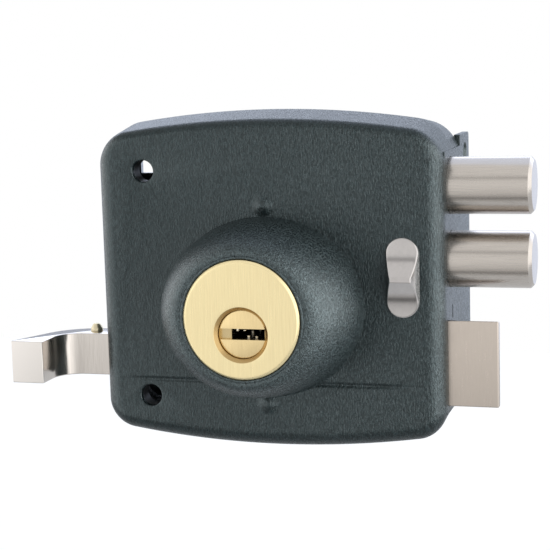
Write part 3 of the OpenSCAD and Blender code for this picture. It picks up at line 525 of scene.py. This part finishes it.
def case_rings(sheet):
    """Rings from the door up the wall and round the front edge, set in by the sheet's thickness."""
    turn = np.linspace(0.0, np.pi / 2.0, 16)
    radius = EDGE - sheet
    depths = np.concatenate([WALL_ROWS, WALL_D + radius * np.sin(turn)])
    sides = np.concatenate([0.0 * WALL_ROWS, radius * (1.0 - np.cos(turn))])
    outer = depths + sheet * np.clip((depths - WALL_D) / radius, 0.0, 1.0)
    upper, lower = upper_fall(outer) + sheet, lower_fall(outer) + sides + sheet
    flats = [case_rim(s + sheet, u, v) for s, u, v in zip(sides, upper, lower)]
    return np.stack([at_depth(flat, d) for flat, d in zip(flats, depths)])


cover = mesh_object(
    "cover_shell", *shell(np.concatenate([case_rings(SHEET)[::-1], case_rings(0.0)])))
print("cover sheet:", len(cover.data.vertices), "points")

# %% [markdown]
# The openings are punched in the press, and here they are carved out. The holes for screws get a
# flared cutter, which leaves the softened lip of a painted hole. A shallow groove with a cosine
# section marks the crease below the guard and runs out at both ends. Pockets make room for the
# guard's foot, the handle's bar, the forend and the thumb slide's stem.

# %% Cover holes
GUARD_TOP = span("cylinder_guard")[1][1]
FOOT_A, FOOT_B, FOOT_GAP, CYLINDER_Z = 32.1, 28.2, 0.15, 4.5
HOLE_X, HOLE_Z, HOLE_R, HOLE_LIP = -40.0, (47.6, -26.1), 3.5, 0.5
CREASE_Z, CREASE_HALF, CREASE_DEEP = -20.6, 1.1, 0.42
CREASE_END, CREASE_FADE, CREASE_LEAST, CREASE_SKIM = 6.0, 14.0, 0.02, 0.004
BAR_WINDOW = [(-20.8, -23.2), (-10.2, -23.2), (-10.2, -8.4), (-20.8, -8.4)]
FOREND_LOW, FOREND_TOP, FOREND_FIT, FOREND_POCKET = -30.4, 52.6, 0.04, 4.15
SLIDE_X, STEM_HALF, STEM_Z = np.mean(span("snib_button")[0]), 3.15, (3.45, 18.25)


def flared_hole(x, z, radius, lip):
    """A cutter for a screw hole: a cylinder whose mouth opens on a quarter circle."""
    turn = np.linspace(0.0, np.pi / 2.0, 7)
    mouth = np.column_stack([
        radius + lip * (1.0 - np.cos(turn)), CASE_D - lip + lip * np.sin(turn)])
    line = np.vstack([[radius, CASE_D - 5.0], mouth, [radius + lip, CASE_D + 2.0]])
    return shell(turned(line, (x, z), 64))


spin = np.linspace(0.0, 2.0 * np.pi, 192, endpoint=False)
throat = np.column_stack([
    (FOOT_A + FOOT_GAP) * np.cos(spin), CYLINDER_Z + (FOOT_B + FOOT_GAP) * np.sin(spin)])
neck = np.stack([at_depth(throat, d) for d in (30.0, 37.0)])
bar_window = slab(eased(BAR_WINDOW, 1.2), LEFT - 2.0, LEFT + 3.0, 0.01, "X")

run = np.linspace(LEFT + CREASE_END, RIGHT - CREASE_END, 61)[:, None]
to_end = np.minimum(run - LEFT - CREASE_END, RIGHT - CREASE_END - run)
fade = CREASE_LEAST + (1.0 - CREASE_LEAST) * np.clip(to_end / CREASE_FADE, 0.0, 1.0)
section = np.linspace(-1.0, 1.0, 13)[None, :]
sunk = CREASE_DEEP * fade * (0.5 + 0.5 * np.cos(np.pi * section)) + CREASE_SKIM
bed = np.stack([
    run + 0.0 * section, sunk - CASE_D, CREASE_Z + CREASE_HALF * section + 0.0 * run], -1)
lid = bed[:, ::-1] * [1.0, 0.0, 1.0] + [0.0, -CASE_D - 0.5, 0.0]
crease = np.concatenate([bed, lid], 1)

forend_pocket = block(
    (RIGHT - FOREND_POCKET, RIGHT + 3.0), (-2.0, WALL_D + FOREND_FIT),
    (FOREND_LOW - FOREND_FIT, FOREND_TOP + FOREND_FIT))
stem_slot = block((SLIDE_X - STEM_HALF, SLIDE_X + STEM_HALF), (31.0, 36.0), STEM_Z)
carve(
    cover, *[flared_hole(HOLE_X, z, HOLE_R, HOLE_LIP) for z in HOLE_Z],
    shell(neck), shell(bar_window), shell(crease), forend_pocket, stem_slot)
dress(cover, paint, "case", "dark_paint", "cover", sharp=24.0)

# %% [markdown]
# ## The cylinder guard
# The guard is a domed collar: its foot is an oval, its rim a circle, and between them the half axes
# shrink along a quarter of an ellipse. The foot runs out on the cover in a fillet, wider below
# on the left, where thick paint gathers, and the rim rolls over into the bore. The rows close on
# themselves, like a tyre.

# %% Guard
GUARD_RIM, BODY_R, BORE, BORE_EDGE, LIP_RISE = 19.6, 18.5, 18.62, 59.0, 0.35
FLANGE_A, FLANGE_B, FLANGE_BACK, FLANGE_FRONT = 35.6, 36.5, 30.9, 32.4
RUNOUT_H, RUNOUT_LEAST, RUNOUT_MORE, RUNOUT_TURN = 3.0, 0.35, 1.5, 0.5
PAINT_SKIN = 0.02
climb = np.radians(np.linspace(0.0, 84.0, 44))
dome = np.stack([
    GUARD_RIM + (FOOT_A - GUARD_RIM) * np.cos(climb),
    GUARD_RIM + (FOOT_B - GUARD_RIM) * np.cos(climb),
    CASE_D + PAINT_SKIN + (GUARD_TOP - CASE_D) * np.sin(climb)], 1)
lip_turn = np.radians(np.linspace(10.0, 170.0, 9))
lip_r = (GUARD_RIM + BORE) / 2.0 + (GUARD_RIM - BORE) / 2.0 * np.cos(lip_turn)
lip = np.stack([lip_r, lip_r, GUARD_TOP - LIP_RISE + LIP_RISE * np.sin(lip_turn)], 1)
rows = np.vstack([
    [[FLANGE_A, FLANGE_B, FLANGE_BACK], [FLANGE_A, FLANGE_B, FLANGE_FRONT],
     [FOOT_A, FOOT_B, FLANGE_FRONT], [FOOT_A, FOOT_B, CASE_D]],
    dome, lip, [[BORE, BORE, BORE_EDGE], [BORE, BORE, FLANGE_BACK]]])
half_x, half_z, depths = rows[:, :1], rows[:, 1:2], rows[:, 2:]
near_foot = np.clip(1.0 - (depths - CASE_D) / RUNOUT_H, 0.0, 1.0) ** 2
runout = np.where(depths > CASE_D + PAINT_SKIN / 2.0, near_foot, 0.0)
flare = runout * (RUNOUT_LEAST + RUNOUT_MORE * np.clip(-np.sin(spin + RUNOUT_TURN), 0.0, 1.0))
collar = np.stack([
    (half_x + flare) * np.cos(spin), -depths + 0.0 * spin,
    CYLINDER_Z + (half_z + flare) * np.sin(spin)], -1)
guard = mesh_object("guard_collar", *shell(collar, closed_rows=True))
dress(guard, guard_paint, "case", "dark_paint", "cylinder_guard", sharp=40.0)

# %% [markdown]
# ## Rivets under the paint
# Two rivets hold the guard. Under the paint only soft bumps show, so each one is a turned mound
# whose height falls off as a smooth step of the radius.

# %% Rivet mounds
MOUND_R, MOUND_H, RIVET_R, RIVET_Z = 4.1, 1.0, 3.0, (36.5, -27.5)
reach = np.linspace(1.0, 0.0, 14)
swell = 1.0 - reach ** 2 * (3.0 - 2.0 * reach)
mound = np.vstack([
    [[RIVET_R, CASE_D - SHEET], [RIVET_R, CASE_D]],
    np.column_stack([MOUND_R * reach, CASE_D + PAINT_SKIN + MOUND_H * swell])])
mounds = joined(*[shell(turned(mound, (0.0, z), 64)) for z in RIVET_Z])
rivets = dress(mesh_object("rivet_mounds", *mounds), paint, "case", "dark_paint", "guard_rivets")

# %% [markdown]
# ## The brass cylinder
# The cylinder's face is a disc with a bright turned edge, and the key plug sits below its middle.
# Each ring of this surface has its own radius, depth and centre, so one loft runs from the plug's
# bore out to the rim although the two circles are not concentric.

# %% Cylinder
FACE_D, PLUG_BORE, MOUTH = span("cylinder_body")[1][1], 7.58, 1.1
BODY_BACK, BODY_MIDDLE, FACE_IN, FACE_OUT = 23.0, 50.0, 10.0, 17.0
RIM_IN, RIM_FALL, RIM_ROUND, MOUTH_ROUND = 0.75, 0.8, 0.45, 0.2
BODY_LINE = np.array([(18.5, 30.9), (26.0, 30.9), (26.0, 27.9), (13.0, 27.9), (13.0, BODY_BACK)])
rim_line = eased([
    (FACE_OUT, FACE_D), (BODY_R - RIM_IN, FACE_D), (BODY_R, FACE_D - RIM_FALL),
    (BODY_R, BODY_MIDDLE)], RIM_ROUND, 5, closed=False)
mouth_line = eased([
    (PLUG_BORE, BODY_MIDDLE), (PLUG_BORE, FACE_D - MOUTH), (PLUG_BORE + MOUTH, FACE_D),
    (FACE_IN, FACE_D)], MOUTH_ROUND, 5, closed=False)


def centred(line, z):
    """A profile of radius and depth, with the height of its centre as a third column."""
    return np.column_stack([line, np.full(len(line), z)])


disc = np.vstack([
    [[PLUG_BORE, BODY_BACK, 0.0]], centred(mouth_line, 0.0),
    centred(rim_line, CYLINDER_Z), centred(BODY_LINE, CYLINDER_Z)])
cylinder = mesh_object("cylinder_disc", *shell(turned(disc, sides=160), closed_rows=True))
dress(cylinder, metal["disc_brass"], "case", "brass", "cylinder_body", sharp=28.0)

# %% [markdown]
# The plug is turned like the disc. Its keyway is broached: a deep slot for the flat key, and at the
# hinge side a shallow step, which catches the light.

# %% Key plug
PLUG_FACE, PLUG_R, KEY_HALF = span("plug")[1][1], 7.5, 1.7
KEYWAY_X, KEYWAY_D, SHELF_X, SHELF_DEEP = (-3.7, 7.2), (33.3, 62.0), (-7.2, -3.6), 1.2
PLUG_TAIL = [
    (0.0, 4.2), (2.0, 4.2), (2.0, 9.0), (4.0, 9.0), (4.0, 21.7), (3.4, 21.7), (3.4, 23.0)]
plug_line = PLUG_TAIL + [
    (PLUG_R, 23.0), (PLUG_R, PLUG_FACE - 0.35), (7.4, PLUG_FACE - 0.1), (7.15, PLUG_FACE),
    (0.0, PLUG_FACE)]
plug = mesh_object("key_plug", *shell(turned(plug_line, sides=128)))
carve(
    plug, block(KEYWAY_X, KEYWAY_D, (-KEY_HALF, KEY_HALF)),
    block(SHELF_X, (PLUG_FACE - SHELF_DEEP, KEYWAY_D[1]), (-KEY_HALF, KEY_HALF)))
dress(plug, metal["plug_brass"], "plug", "brass", "plug", sharp=28.0)

# %% [markdown]
# In the dark of the keyway four pin tips glint, two from above and two from below. Each is a thin
# turned pin with a blunt tip, rooted in the plug. The table gives its place, root and tip.

# %% Pin tips in the keyway
TIP_R, TIP_FLAT, TIP_CONE, TIP_D = 0.6, 0.3, 0.2, 55.4
PIN_TIPS = ((-2.7, 2.4, 0.2), (-0.3, 2.4, 0.3), (0.9, -2.4, -0.8), (3.5, -2.4, -0.9))


def pin_tip(x, root, tip):
    """A pin from its root to its tip, narrowing to a small flat over the length of the cone."""
    shoulder = tip + TIP_CONE * np.sign(root)
    line = [(0.0, root), (TIP_R, root), (TIP_R, shoulder), (TIP_FLAT, tip), (0.0, tip)]
    return shell(standing(turned(line, sides=24), x, -TIP_D))


tips = joined(*[pin_tip(*row) for row in PIN_TIPS])
dress(mesh_object("key_pin_tips", *tips), metal["pin_nickel"], "plug", "zinc_steel")

# %% [markdown]
# ## Bolts, latch and handle
# These are nickel plated. The bolts are turned bars with a bright chamfer at the tip. The latch and
# the handle are flat outlines carried along Z, and their outlines and edges are rounded, because
# plated bars catch the light along every edge.

# %% Round bolts
CHAMFER, BOLT_ROUND = 1.1, 0.3


def bolt(name, node):
    """A bar turned about an axis along X, with the CAD bolt's length, radius and place."""
    (root, tip), depth, height = span(node)
    radius = (height[1] - height[0]) / 2.0
    line = eased(
        [(0.0, root), (radius, root), (radius, tip - CHAMFER), (radius - CHAMFER, tip), (0.0, tip)],
        [0.0, BOLT_ROUND, BOLT_ROUND, BOLT_ROUND, 0.0], 5, closed=False)
    bar = lying(turned(line, sides=128), -np.mean(depth), np.mean(height))
    return dress(mesh_object(name, *shell(bar)), metal["bolt_nickel"], "bolts", "nickel", node)


bolt("upper_round_bolt", "upper_bolt")
bolt("lower_round_bolt", "lower_bolt")

# %% Latch
(latch_root, latch_tip), (latch_back, latch_front), (latch_low, latch_high) = span("latch_bolt")
LATCH_NOSE, LATCH_BEVEL, LATCH_RAKE, LATCH_EDGE = 3.0, 15.5, 3.0, 0.45
NOTCH_X, NOTCH_W, NOTCH_D, NOTCH_Z = (32.0, 47.8), 4.6, (8.0, 30.0), (-6.4, 3.0)
latch_outline = eased([
    (latch_root, -latch_front), (latch_tip, -latch_front), (latch_tip, -latch_front + LATCH_NOSE),
    (latch_tip - LATCH_BEVEL, -latch_back), (latch_root, -latch_back)], [0.2, 0.5, 0.8, 0.8, 0.2])
head = slab(latch_outline, latch_low, latch_high, LATCH_EDGE, "Z")
raised = (head[..., 2] - latch_low) / (latch_high - latch_low)
head[..., 2] -= LATCH_RAKE * raised * (latch_front + head[..., 1]) / (latch_front - latch_back)
latch = mesh_object("latch_head", *shell(head))
carve(latch, *[block((x, x + NOTCH_W), NOTCH_D, NOTCH_Z) for x in NOTCH_X])
dress(latch, metal["latch_nickel"], "latch", "nickel", "latch_bolt")

# %% Pull handle
(bar_tip, bar_root), (bar_back, bar_front), (bar_low, bar_high) = span("pull_handle")
BAR_FACE, TAB_IN, TAB_OUT, TAB_LEAN = 20.5, -77.0, bar_tip - 0.4, 0.2
SWEEP_FOOT, BEND_R, SWEEP_R, BAR_EDGE = -76.5, 8.5, 18.0, 0.35
bar_outline = eased([
    (bar_root, -BAR_FACE), (TAB_IN, -BAR_FACE), (TAB_IN, -bar_front),
    (TAB_OUT, TAB_LEAN - bar_front), (SWEEP_FOOT, -bar_back), (bar_root, -bar_back)],
    [0.4, BEND_R, 0.4, 0.25, SWEEP_R, 0.4], 14)
handle = mesh_object("pull_bar", *shell(slab(bar_outline, bar_low, bar_high, BAR_EDGE, "Z")))
dress(handle, metal["handle_nickel"], "latch", "nickel", "pull_handle")

# %% Handle pin
(pin_left, pin_right), pin_depth, (pin_low, pin_top) = span("handle_pin")
PIN_R, HEAD_R, HEAD_TOP_R, HEAD_WALL = 1.5, (pin_right - pin_left) / 2.0, 1.05, 1.0
pin_line = eased([
    (0.0, pin_low), (PIN_R, pin_low), (PIN_R, bar_high), (HEAD_R, bar_high),
    (HEAD_R - 0.1, bar_high + HEAD_WALL), (HEAD_TOP_R, pin_top), (0.0, pin_top)],
    [0.0, 0.1, 0.1, 0.1, 0.7, 0.6, 0.0], 6, closed=False)
pin = standing(turned(pin_line, sides=48), (pin_left + pin_right) / 2.0, -np.mean(pin_depth))
pin_head = mesh_object("handle_pin_head", *shell(pin))
dress(pin_head, metal["pin_brass"], "latch", "brass", "handle_pin")

# %% [markdown]
# ## The thumb slide
# The button is a long pill with sloping sides, hollowed by two scoops that leave a ridge across the
# middle. The height of the top depends on z alone, so the top is a grid of straight rows across the
# button. Its wall climbs from the foot to the height that the scoops leave, and a short curve joins
# wall and top: that narrow round is the bright line round each scoop.

# %% Thumb slide
SLIDE_Z = np.mean(span("snib_button")[2])
SLIDE_W, SLIDE_L, SLIDE_FOOT, SLIDE_SHIFT = 10.9, 25.3, 0.2, -0.65
RIDGE, RIDGE_EASE, SLOPE, ROUND = 5.0, 0.3, 0.42, 0.45
SCOOP_R, SCOOP_AT, SCOOP_LOW = 17.0, 12.2, 0.6
ARC_STEPS, SIDE_STEPS, TOP_STEPS = 32, 72, 15


def scooped(z):
    """Height left by the scoops: low point plus the sag of a circle, eased under the ridge."""
    off = np.abs(z) - SCOOP_AT
    height = SCOOP_LOW + SCOOP_R - np.sqrt(np.maximum(SCOOP_R ** 2 - off ** 2, 1.0))
    blend = np.clip(0.5 + 0.5 * (RIDGE - height) / RIDGE_EASE, 0.0, 1.0)
    return RIDGE * (1.0 - blend) + height * blend - RIDGE_EASE * blend * (1.0 - blend) / 2.0


# Stations run from the upper end to the lower one: a quarter circle, a straight, a quarter circle.
quarter = np.linspace(np.pi / 2.0, 0.0, ARC_STEPS)
straight = np.linspace(1.0, -1.0, SIDE_STEPS)[1:-1]
lean = np.concatenate([quarter, 0.0 * straight, -quarter[::-1]])
ends = np.ones(ARC_STEPS)
hub = (SLIDE_L - SLIDE_W) / 2.0 * np.concatenate([ends, straight, -ends])


def flank(inset):
    """Half width and height along the button of the outline at an inset from the foot."""
    reach = SLIDE_W / 2.0 - inset
    return reach * np.cos(lean), hub + reach * np.sin(lean)


def station(inset, height):
    """Half width, depth and place along the button for one row of stations."""
    x, z = flank(inset)
    return np.stack([x, -CASE_D - height + 0.0 * x, z], -1)


# The sloping wall and the scooped top meet where both have one height, found by a few rounds.
edge_h = scooped(flank(0.0)[1])
for _ in range(6):
    edge_h = scooped(flank(SLOPE * edge_h)[1])
wall = [station(SLOPE * h, h) for h in np.linspace(SLIDE_FOOT, edge_h - ROUND, 8)]
knee = station(SLOPE * edge_h, edge_h)
inner = SLOPE * edge_h + ROUND
land = station(inner, scooped(flank(inner)[1]))
bend = np.linspace(0.0, 1.0, 7)[1:, None, None]
rounded = (1.0 - bend) ** 2 * wall[-1] + 2.0 * bend * (1.0 - bend) * knee + bend ** 2 * land
side = np.concatenate([np.stack(wall), rounded])
mirror = side * np.array([-1.0, 1.0, 1.0])
share = np.linspace(-1.0, 1.0, TOP_STEPS)[:, None]
top = np.stack([share * land[:, 0], land[:, 1] + 0.0 * share, land[:, 2] + 0.0 * share], -1)
foot = np.concatenate([side[0], mirror[0][-2:0:-1]])
grids = [
    (grid.reshape(-1, 3), quads(*grid.shape[:2], wrap_columns=False))
    for grid in (side, mirror, top)]
points, faces = joined(*grids, (foot, [list(range(len(foot)))]))
points = points + np.array([SLIDE_X + SLIDE_SHIFT, 0.0, SLIDE_Z])
snib = mesh_object("thumb_button", points, faces, merge=2e-3)
dress(snib, metal["slide_nickel"], "snib", "nickel", "snib_button", sharp=60.0)

# %% [markdown]
# ## The forend
# The forend is one painted plate: inside the case it guides the bolts, and behind the door's face a
# flange covers the door's edge. Its outline is drawn in depth and height, its corners are eased,
# and the bolt holes, the latch window and the screw holes are carved out.

# %% Forend
FOREND_IN, FOREND_OUT, CUT_X = RIGHT - 2.0, RIGHT, (50.0, 60.0)
FLAP_Y, FLAP_LOW, FLAP_TOP = 18.0, -31.4, 56.1
SCREW_Y, SCREW_Z, SCREW_R, SCREW_FLARE = 10.0, (49.7, -25.0), 2.2, 1.2
BOLT_GAP, LATCH_GAP, SLIT_D, SLIT_Z = 0.12, 0.2, (16.6, 17.6), (-1.0, 3.2)
plate_outline = eased([
    (-WALL_D, FOREND_LOW), (0.0, FOREND_LOW), (0.0, FLAP_LOW), (FLAP_Y, FLAP_LOW),
    (FLAP_Y, FLAP_TOP), (0.0, FLAP_TOP), (0.0, FOREND_TOP), (-WALL_D, FOREND_TOP)],
    [0.3, 0.3, 0.3, 1.5, 1.5, 0.4, 0.4, 0.3])
forend = mesh_object("forend_sheet", *shell(slab(plate_outline, FOREND_IN, FOREND_OUT, 0.15, "X")))


def round_cutter(y, z, radius, flare=0.0):
    """A cutter along X for a round hole in the forend, opening by the flare at the outer face."""
    line = [
        (radius, CUT_X[0]), (radius, FOREND_OUT - flare), (radius + flare, FOREND_OUT),
        (radius + flare, CUT_X[1])]
    return shell(lying(turned(line, sides=72), y, z))


def bolt_hole(node):
    """The cutter for a bolt's hole: the bolt's own axis and radius, with a little clearance."""
    _, depth, height = span(node)
    return round_cutter(-np.mean(depth), np.mean(height), (height[1] - height[0]) / 2.0 + BOLT_GAP)


window = np.array([
    (-latch_front - LATCH_GAP, latch_low - LATCH_GAP),
    (-latch_back + LATCH_GAP, latch_low - LATCH_GAP),
    (-latch_back + LATCH_GAP, latch_high - LATCH_RAKE + LATCH_GAP),
    (-latch_front - LATCH_GAP, latch_high + LATCH_GAP)])
carve(
    forend, bolt_hole("upper_bolt"), bolt_hole("lower_bolt"),
    *[round_cutter(SCREW_Y, z, SCREW_R, SCREW_FLARE) for z in SCREW_Z],
    shell([np.column_stack([np.full(4, x), window]) for x in CUT_X]),
    block(CUT_X, SLIT_D, SLIT_Z))
dress(forend, paint, "case", "dark_paint", "forend_plate")

# %% [markdown]
# ## The latch spring
# The spring behind the latch is a round wire along a helix. When the handle is drawn, it is pressed
# together against its seat.

# %% Latch spring
(coil_x0, coil_x1), coil_depth, coil_z = span("latch_spring")
COIL_TURNS, TURN_STEPS, WIRE_R = 9, 28, 0.5
coil_y, coil_height = -np.mean(coil_depth), np.mean(coil_z)
coil_r = (coil_z[1] - coil_z[0]) / 2.0 - WIRE_R
along = np.linspace(0.0, 1.0, COIL_TURNS * TURN_STEPS + 1)[:, None]
phase = 2.0 * np.pi * COIL_TURNS * along
ring = np.linspace(0.0, 2.0 * np.pi, 10, endpoint=False)[None, :]
radial = coil_r + WIRE_R * np.cos(ring)
wire = np.stack([
    coil_x0 + WIRE_R + (coil_x1 - coil_x0 - 2.0 * WIRE_R) * along + WIRE_R * np.sin(ring),
    coil_y + radial * np.sin(phase), coil_height + radial * np.cos(phase)], -1)
coil = mesh_object("latch_coil", *shell(wire))
dress(coil, metal["spring_wire"], "case", "spring_steel", "latch_spring")
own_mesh(coil)

# %% [markdown]
# ## The works inside
# The rest of the lock stays as CAD solids. They show through the holes and when the bolts, the
# latch or the handle move, so each one gets the finish of its material slot.

# %% Finishes of the inner works
by_slot = {
    "dark_paint": paint, "brass": metal["turned_brass"], "nickel": metal["latch_nickel"],
    "zinc_steel": metal["zinc_steel"], "spring_steel": metal["spring_wire"]}
for entry in frame["record"]["subparts"]:
    is_pin = entry["node"] == "key_pins"
    mesh = nodes[entry["node"]].data
    mesh.materials.clear()
    mesh.materials.append(metal["pin_nickel"] if is_pin else by_slot[entry["material_slot"]])
print("inner works dressed:", sum(not n.hide_render for n in nodes.values()))

# %% [markdown]
# ## Studio
# The photograph was lit by a light tent: white from nearly everywhere, a little brighter at the
# sides and behind, with narrow dark gaps that show as thin lines on the bolts. The world is that
# tent. It depends on direction alone: the turn round the upright axis and the height above the
# horizon pick the panels, and the angle in the plane across the bolts picks the gaps. The camera
# itself sees plain white.

# %% Directions in the tent
world = bpy.data.worlds.new("light_tent")
bpy.context.scene.world = world
world.use_nodes = True
tent = world.node_tree
tent.nodes.clear()
facing = put(tent, "ShaderNodeTexCoord")
toward = put(tent, "ShaderNodeSeparateXYZ")
tent.links.new(facing.outputs["Generated"], toward.inputs["Vector"])


def tent_math(operation, first, second=None):
    """One math node of the tent; each side is a number or an output."""
    node = put(tent, "ShaderNodeMath", operation=operation)
    for socket, value in zip(node.inputs, (first, second)):
        if isinstance(value, (int, float)):
            socket.default_value = value
        elif value is not None:
            tent.links.new(value, socket)
    return node.outputs[0]


def in_degrees(angle):
    """An angle in radians as degrees."""
    return tent_math("MULTIPLY", angle, 180.0 / np.pi)


ahead = tent_math("MULTIPLY", toward.outputs["Y"], -1.0)
turn_angle = in_degrees(tent_math("ARCTAN2", toward.outputs["X"], ahead))
climb_angle = in_degrees(tent_math("ARCTAN2", toward.outputs["Z"], ahead))
height_angle = in_degrees(tent_math("ARCSINE", toward.outputs["Z"]))
print("tent directions:", len(tent.nodes), "nodes")


# %% Panels and gaps
def gap(centre, width, depth):
    """One dark gap: depth times e to the power of minus the square of the angle off, in widths."""
    off = tent_math("DIVIDE", tent_math("SUBTRACT", climb_angle, centre), width)
    power = tent_math("MULTIPLY", tent_math("MULTIPLY", off, off), -1.0)
    return tent_math("MULTIPLY", tent_math("POWER", np.e, power), depth)


def between(angle, low, high, soft):
    """One between two angles and nothing outside them, with soft steps at both ends."""
    rise = put(tent, "ShaderNodeMapRange", interpolation_type="SMOOTHSTEP")
    fall = put(tent, "ShaderNodeMapRange", interpolation_type="SMOOTHSTEP")
    for node, bounds in ((rise, (low - soft, low + soft)), (fall, (high + soft, high - soft))):
        node.inputs["From Min"].default_value, node.inputs["From Max"].default_value = bounds
        tent.links.new(angle, node.inputs["Value"])
    return tent_math("MULTIPLY", rise.outputs["Result"], fall.outputs["Result"])


# Level of the tent, and its share low down. A panel has a level, then low end, high end and
# softness of its turn and of its height, in degrees. A gap has a centre, a width and a depth.
TENT, LOW_SHARE, LOW_BOUNDS = 0.93, 0.65, (-45.0, 0.0)
PANELS = {
    "right": (0.8, (34.0, 120.0, 24.0), (-35.0, 40.0, 12.0)),
    "left": (0.5, (-115.0, -34.0, 26.0), (-35.0, 30.0, 12.0)),
    "low_behind": (-0.5, (-200.0, -140.0, 8.0), (-5.0, 12.0, 6.0)),
}
GAPS = ((34.0, 4.5, 0.60), (-48.5, 6.0, 0.50))
AHEAD, BEHIND, BEHIND_LEAST, BEHIND_HEIGHT = (-125.0, 125.0, 20.0), 1.6, 0.1, (17.0, 32.0, 8.0)
BEHIND_COLOUR = (0.9, 0.98, 1.16, 1.0)

light = tent_math("MULTIPLY", TENT, spread(tent, height_angle, LOW_SHARE, 1.0, bounds=LOW_BOUNDS))
for row in GAPS:
    light = tent_math("SUBTRACT", light, gap(*row))
for level, turn, height in PANELS.values():
    patch = tent_math("MULTIPLY", between(turn_angle, *turn), between(height_angle, *height))
    light = tent_math("ADD", light, tent_math("MULTIPLY", patch, level))
behind = tent_math("SUBTRACT", 1.0, between(turn_angle, *AHEAD))
high = tent_math("MULTIPLY", 1.0 - BEHIND_LEAST, between(height_angle, *BEHIND_HEIGHT))
high_behind = tent_math("MULTIPLY", behind, tent_math("ADD", BEHIND_LEAST, high))
light = tent_math("ADD", light, tent_math("MULTIPLY", high_behind, BEHIND))

# %% Tent output
rays = put(tent, "ShaderNodeLightPath")
seen = rays.outputs["Is Camera Ray"]
unseen = tent_math("SUBTRACT", 1.0, seen)
colour = put(tent, "ShaderNodeMix", data_type="RGBA")
colour.inputs["A"].default_value = (1.0, 1.0, 1.0, 1.0)
colour.inputs["B"].default_value = BEHIND_COLOUR
tent.links.new(tent_math("MULTIPLY", behind, unseen), colour.inputs["Factor"])
sky = put(tent, "ShaderNodeBackground")
tent.links.new(colour.outputs["Result"], sky.inputs["Color"])
strength = tent_math("ADD", tent_math("MULTIPLY", light, unseen), seen)
tent.links.new(strength, sky.inputs["Strength"])
end = put(tent, "ShaderNodeOutputWorld")
tent.links.new(sky.outputs["Background"], end.inputs["Surface"])
print("tent nodes:", len(tent.nodes))

# %% [markdown]
# A pale, diffuse table lies below. Its front edge is nearer than the lower gap of the tent, so the
# gap shows over it on the bolts. For the camera alone a little light is added to the table, so that
# it comes out as white as the tent behind it.

# %% Table
TABLE_Z, TABLE_FRONT, TABLE_BACK, TABLE_SIDE = -200.0, -150.0, 900.0, 1500.0
TABLE_COLOUR, TABLE_LIFT = (0.64, 0.64, 0.625), 0.29
table_corners = np.array([
    (-TABLE_SIDE, TABLE_FRONT, TABLE_Z), (TABLE_SIDE, TABLE_FRONT, TABLE_Z),
    (TABLE_SIDE, TABLE_BACK, TABLE_Z), (-TABLE_SIDE, TABLE_BACK, TABLE_Z)])
table = mesh_object("studio_floor", table_corners, [[0, 1, 2, 3]])
pale, table_tree, table_shader = finish("pale_floor", 0.0, 0.8, TABLE_COLOUR, 0.2)
table_rays = put(table_tree, "ShaderNodeLightPath")
lift = put(table_tree, "ShaderNodeMath", operation="MULTIPLY")
lift.inputs[1].default_value = TABLE_LIFT
table_tree.links.new(table_rays.outputs["Is Camera Ray"], lift.inputs[0])
table_shader.inputs["Emission Color"].default_value = (1.0, 1.0, 1.0, 1.0)
table_tree.links.new(lift.outputs[0], table_shader.inputs["Emission Strength"])
table.data.materials.append(pale)
print("table at z (mm):", TABLE_Z)

# %% [markdown]
# Two softboxes at the sides draw the pale edges on the dark paint. The paint reflects only a few
# hundredths of their light, so they are strong, and plated metal would mirror them as plain white.
# In a studio, flags keep such a lamp off the metal. Here each lamp is linked to the painted pieces.

# %% Softboxes
SOFTBOX_DISTANCE = 0.6
painted = [cover, guard, rivets, forend]


def softbox(name, turn, width, height, watts):
    """A lamp that faces the lock at a turn round the upright axis and lights the painted pieces."""
    lamp = bpy.data.lights.new(name, "AREA")
    lamp.shape, lamp.size, lamp.size_y, lamp.energy = "RECTANGLE", width, height, watts
    stand = bpy.data.objects.new(name, lamp)
    bpy.context.scene.collection.objects.link(stand)
    angle, up = np.radians(turn), np.array([0.0, 0.0, 1.0])
    away = np.array([np.sin(angle), -np.cos(angle), 0.0])
    stand.matrix_world = placed(np.cross(up, away), up, away, away * SOFTBOX_DISTANCE)
    group = bpy.data.collections.new(name + "_lit")
    for piece in painted:
        group.objects.link(piece)
    stand.light_linking.receiver_collection = group


softbox("right_softbox", 78.0, 1.1, 0.9, 16.0)
softbox("left_softbox", -67.0, 1.2, 0.8, 5.2)
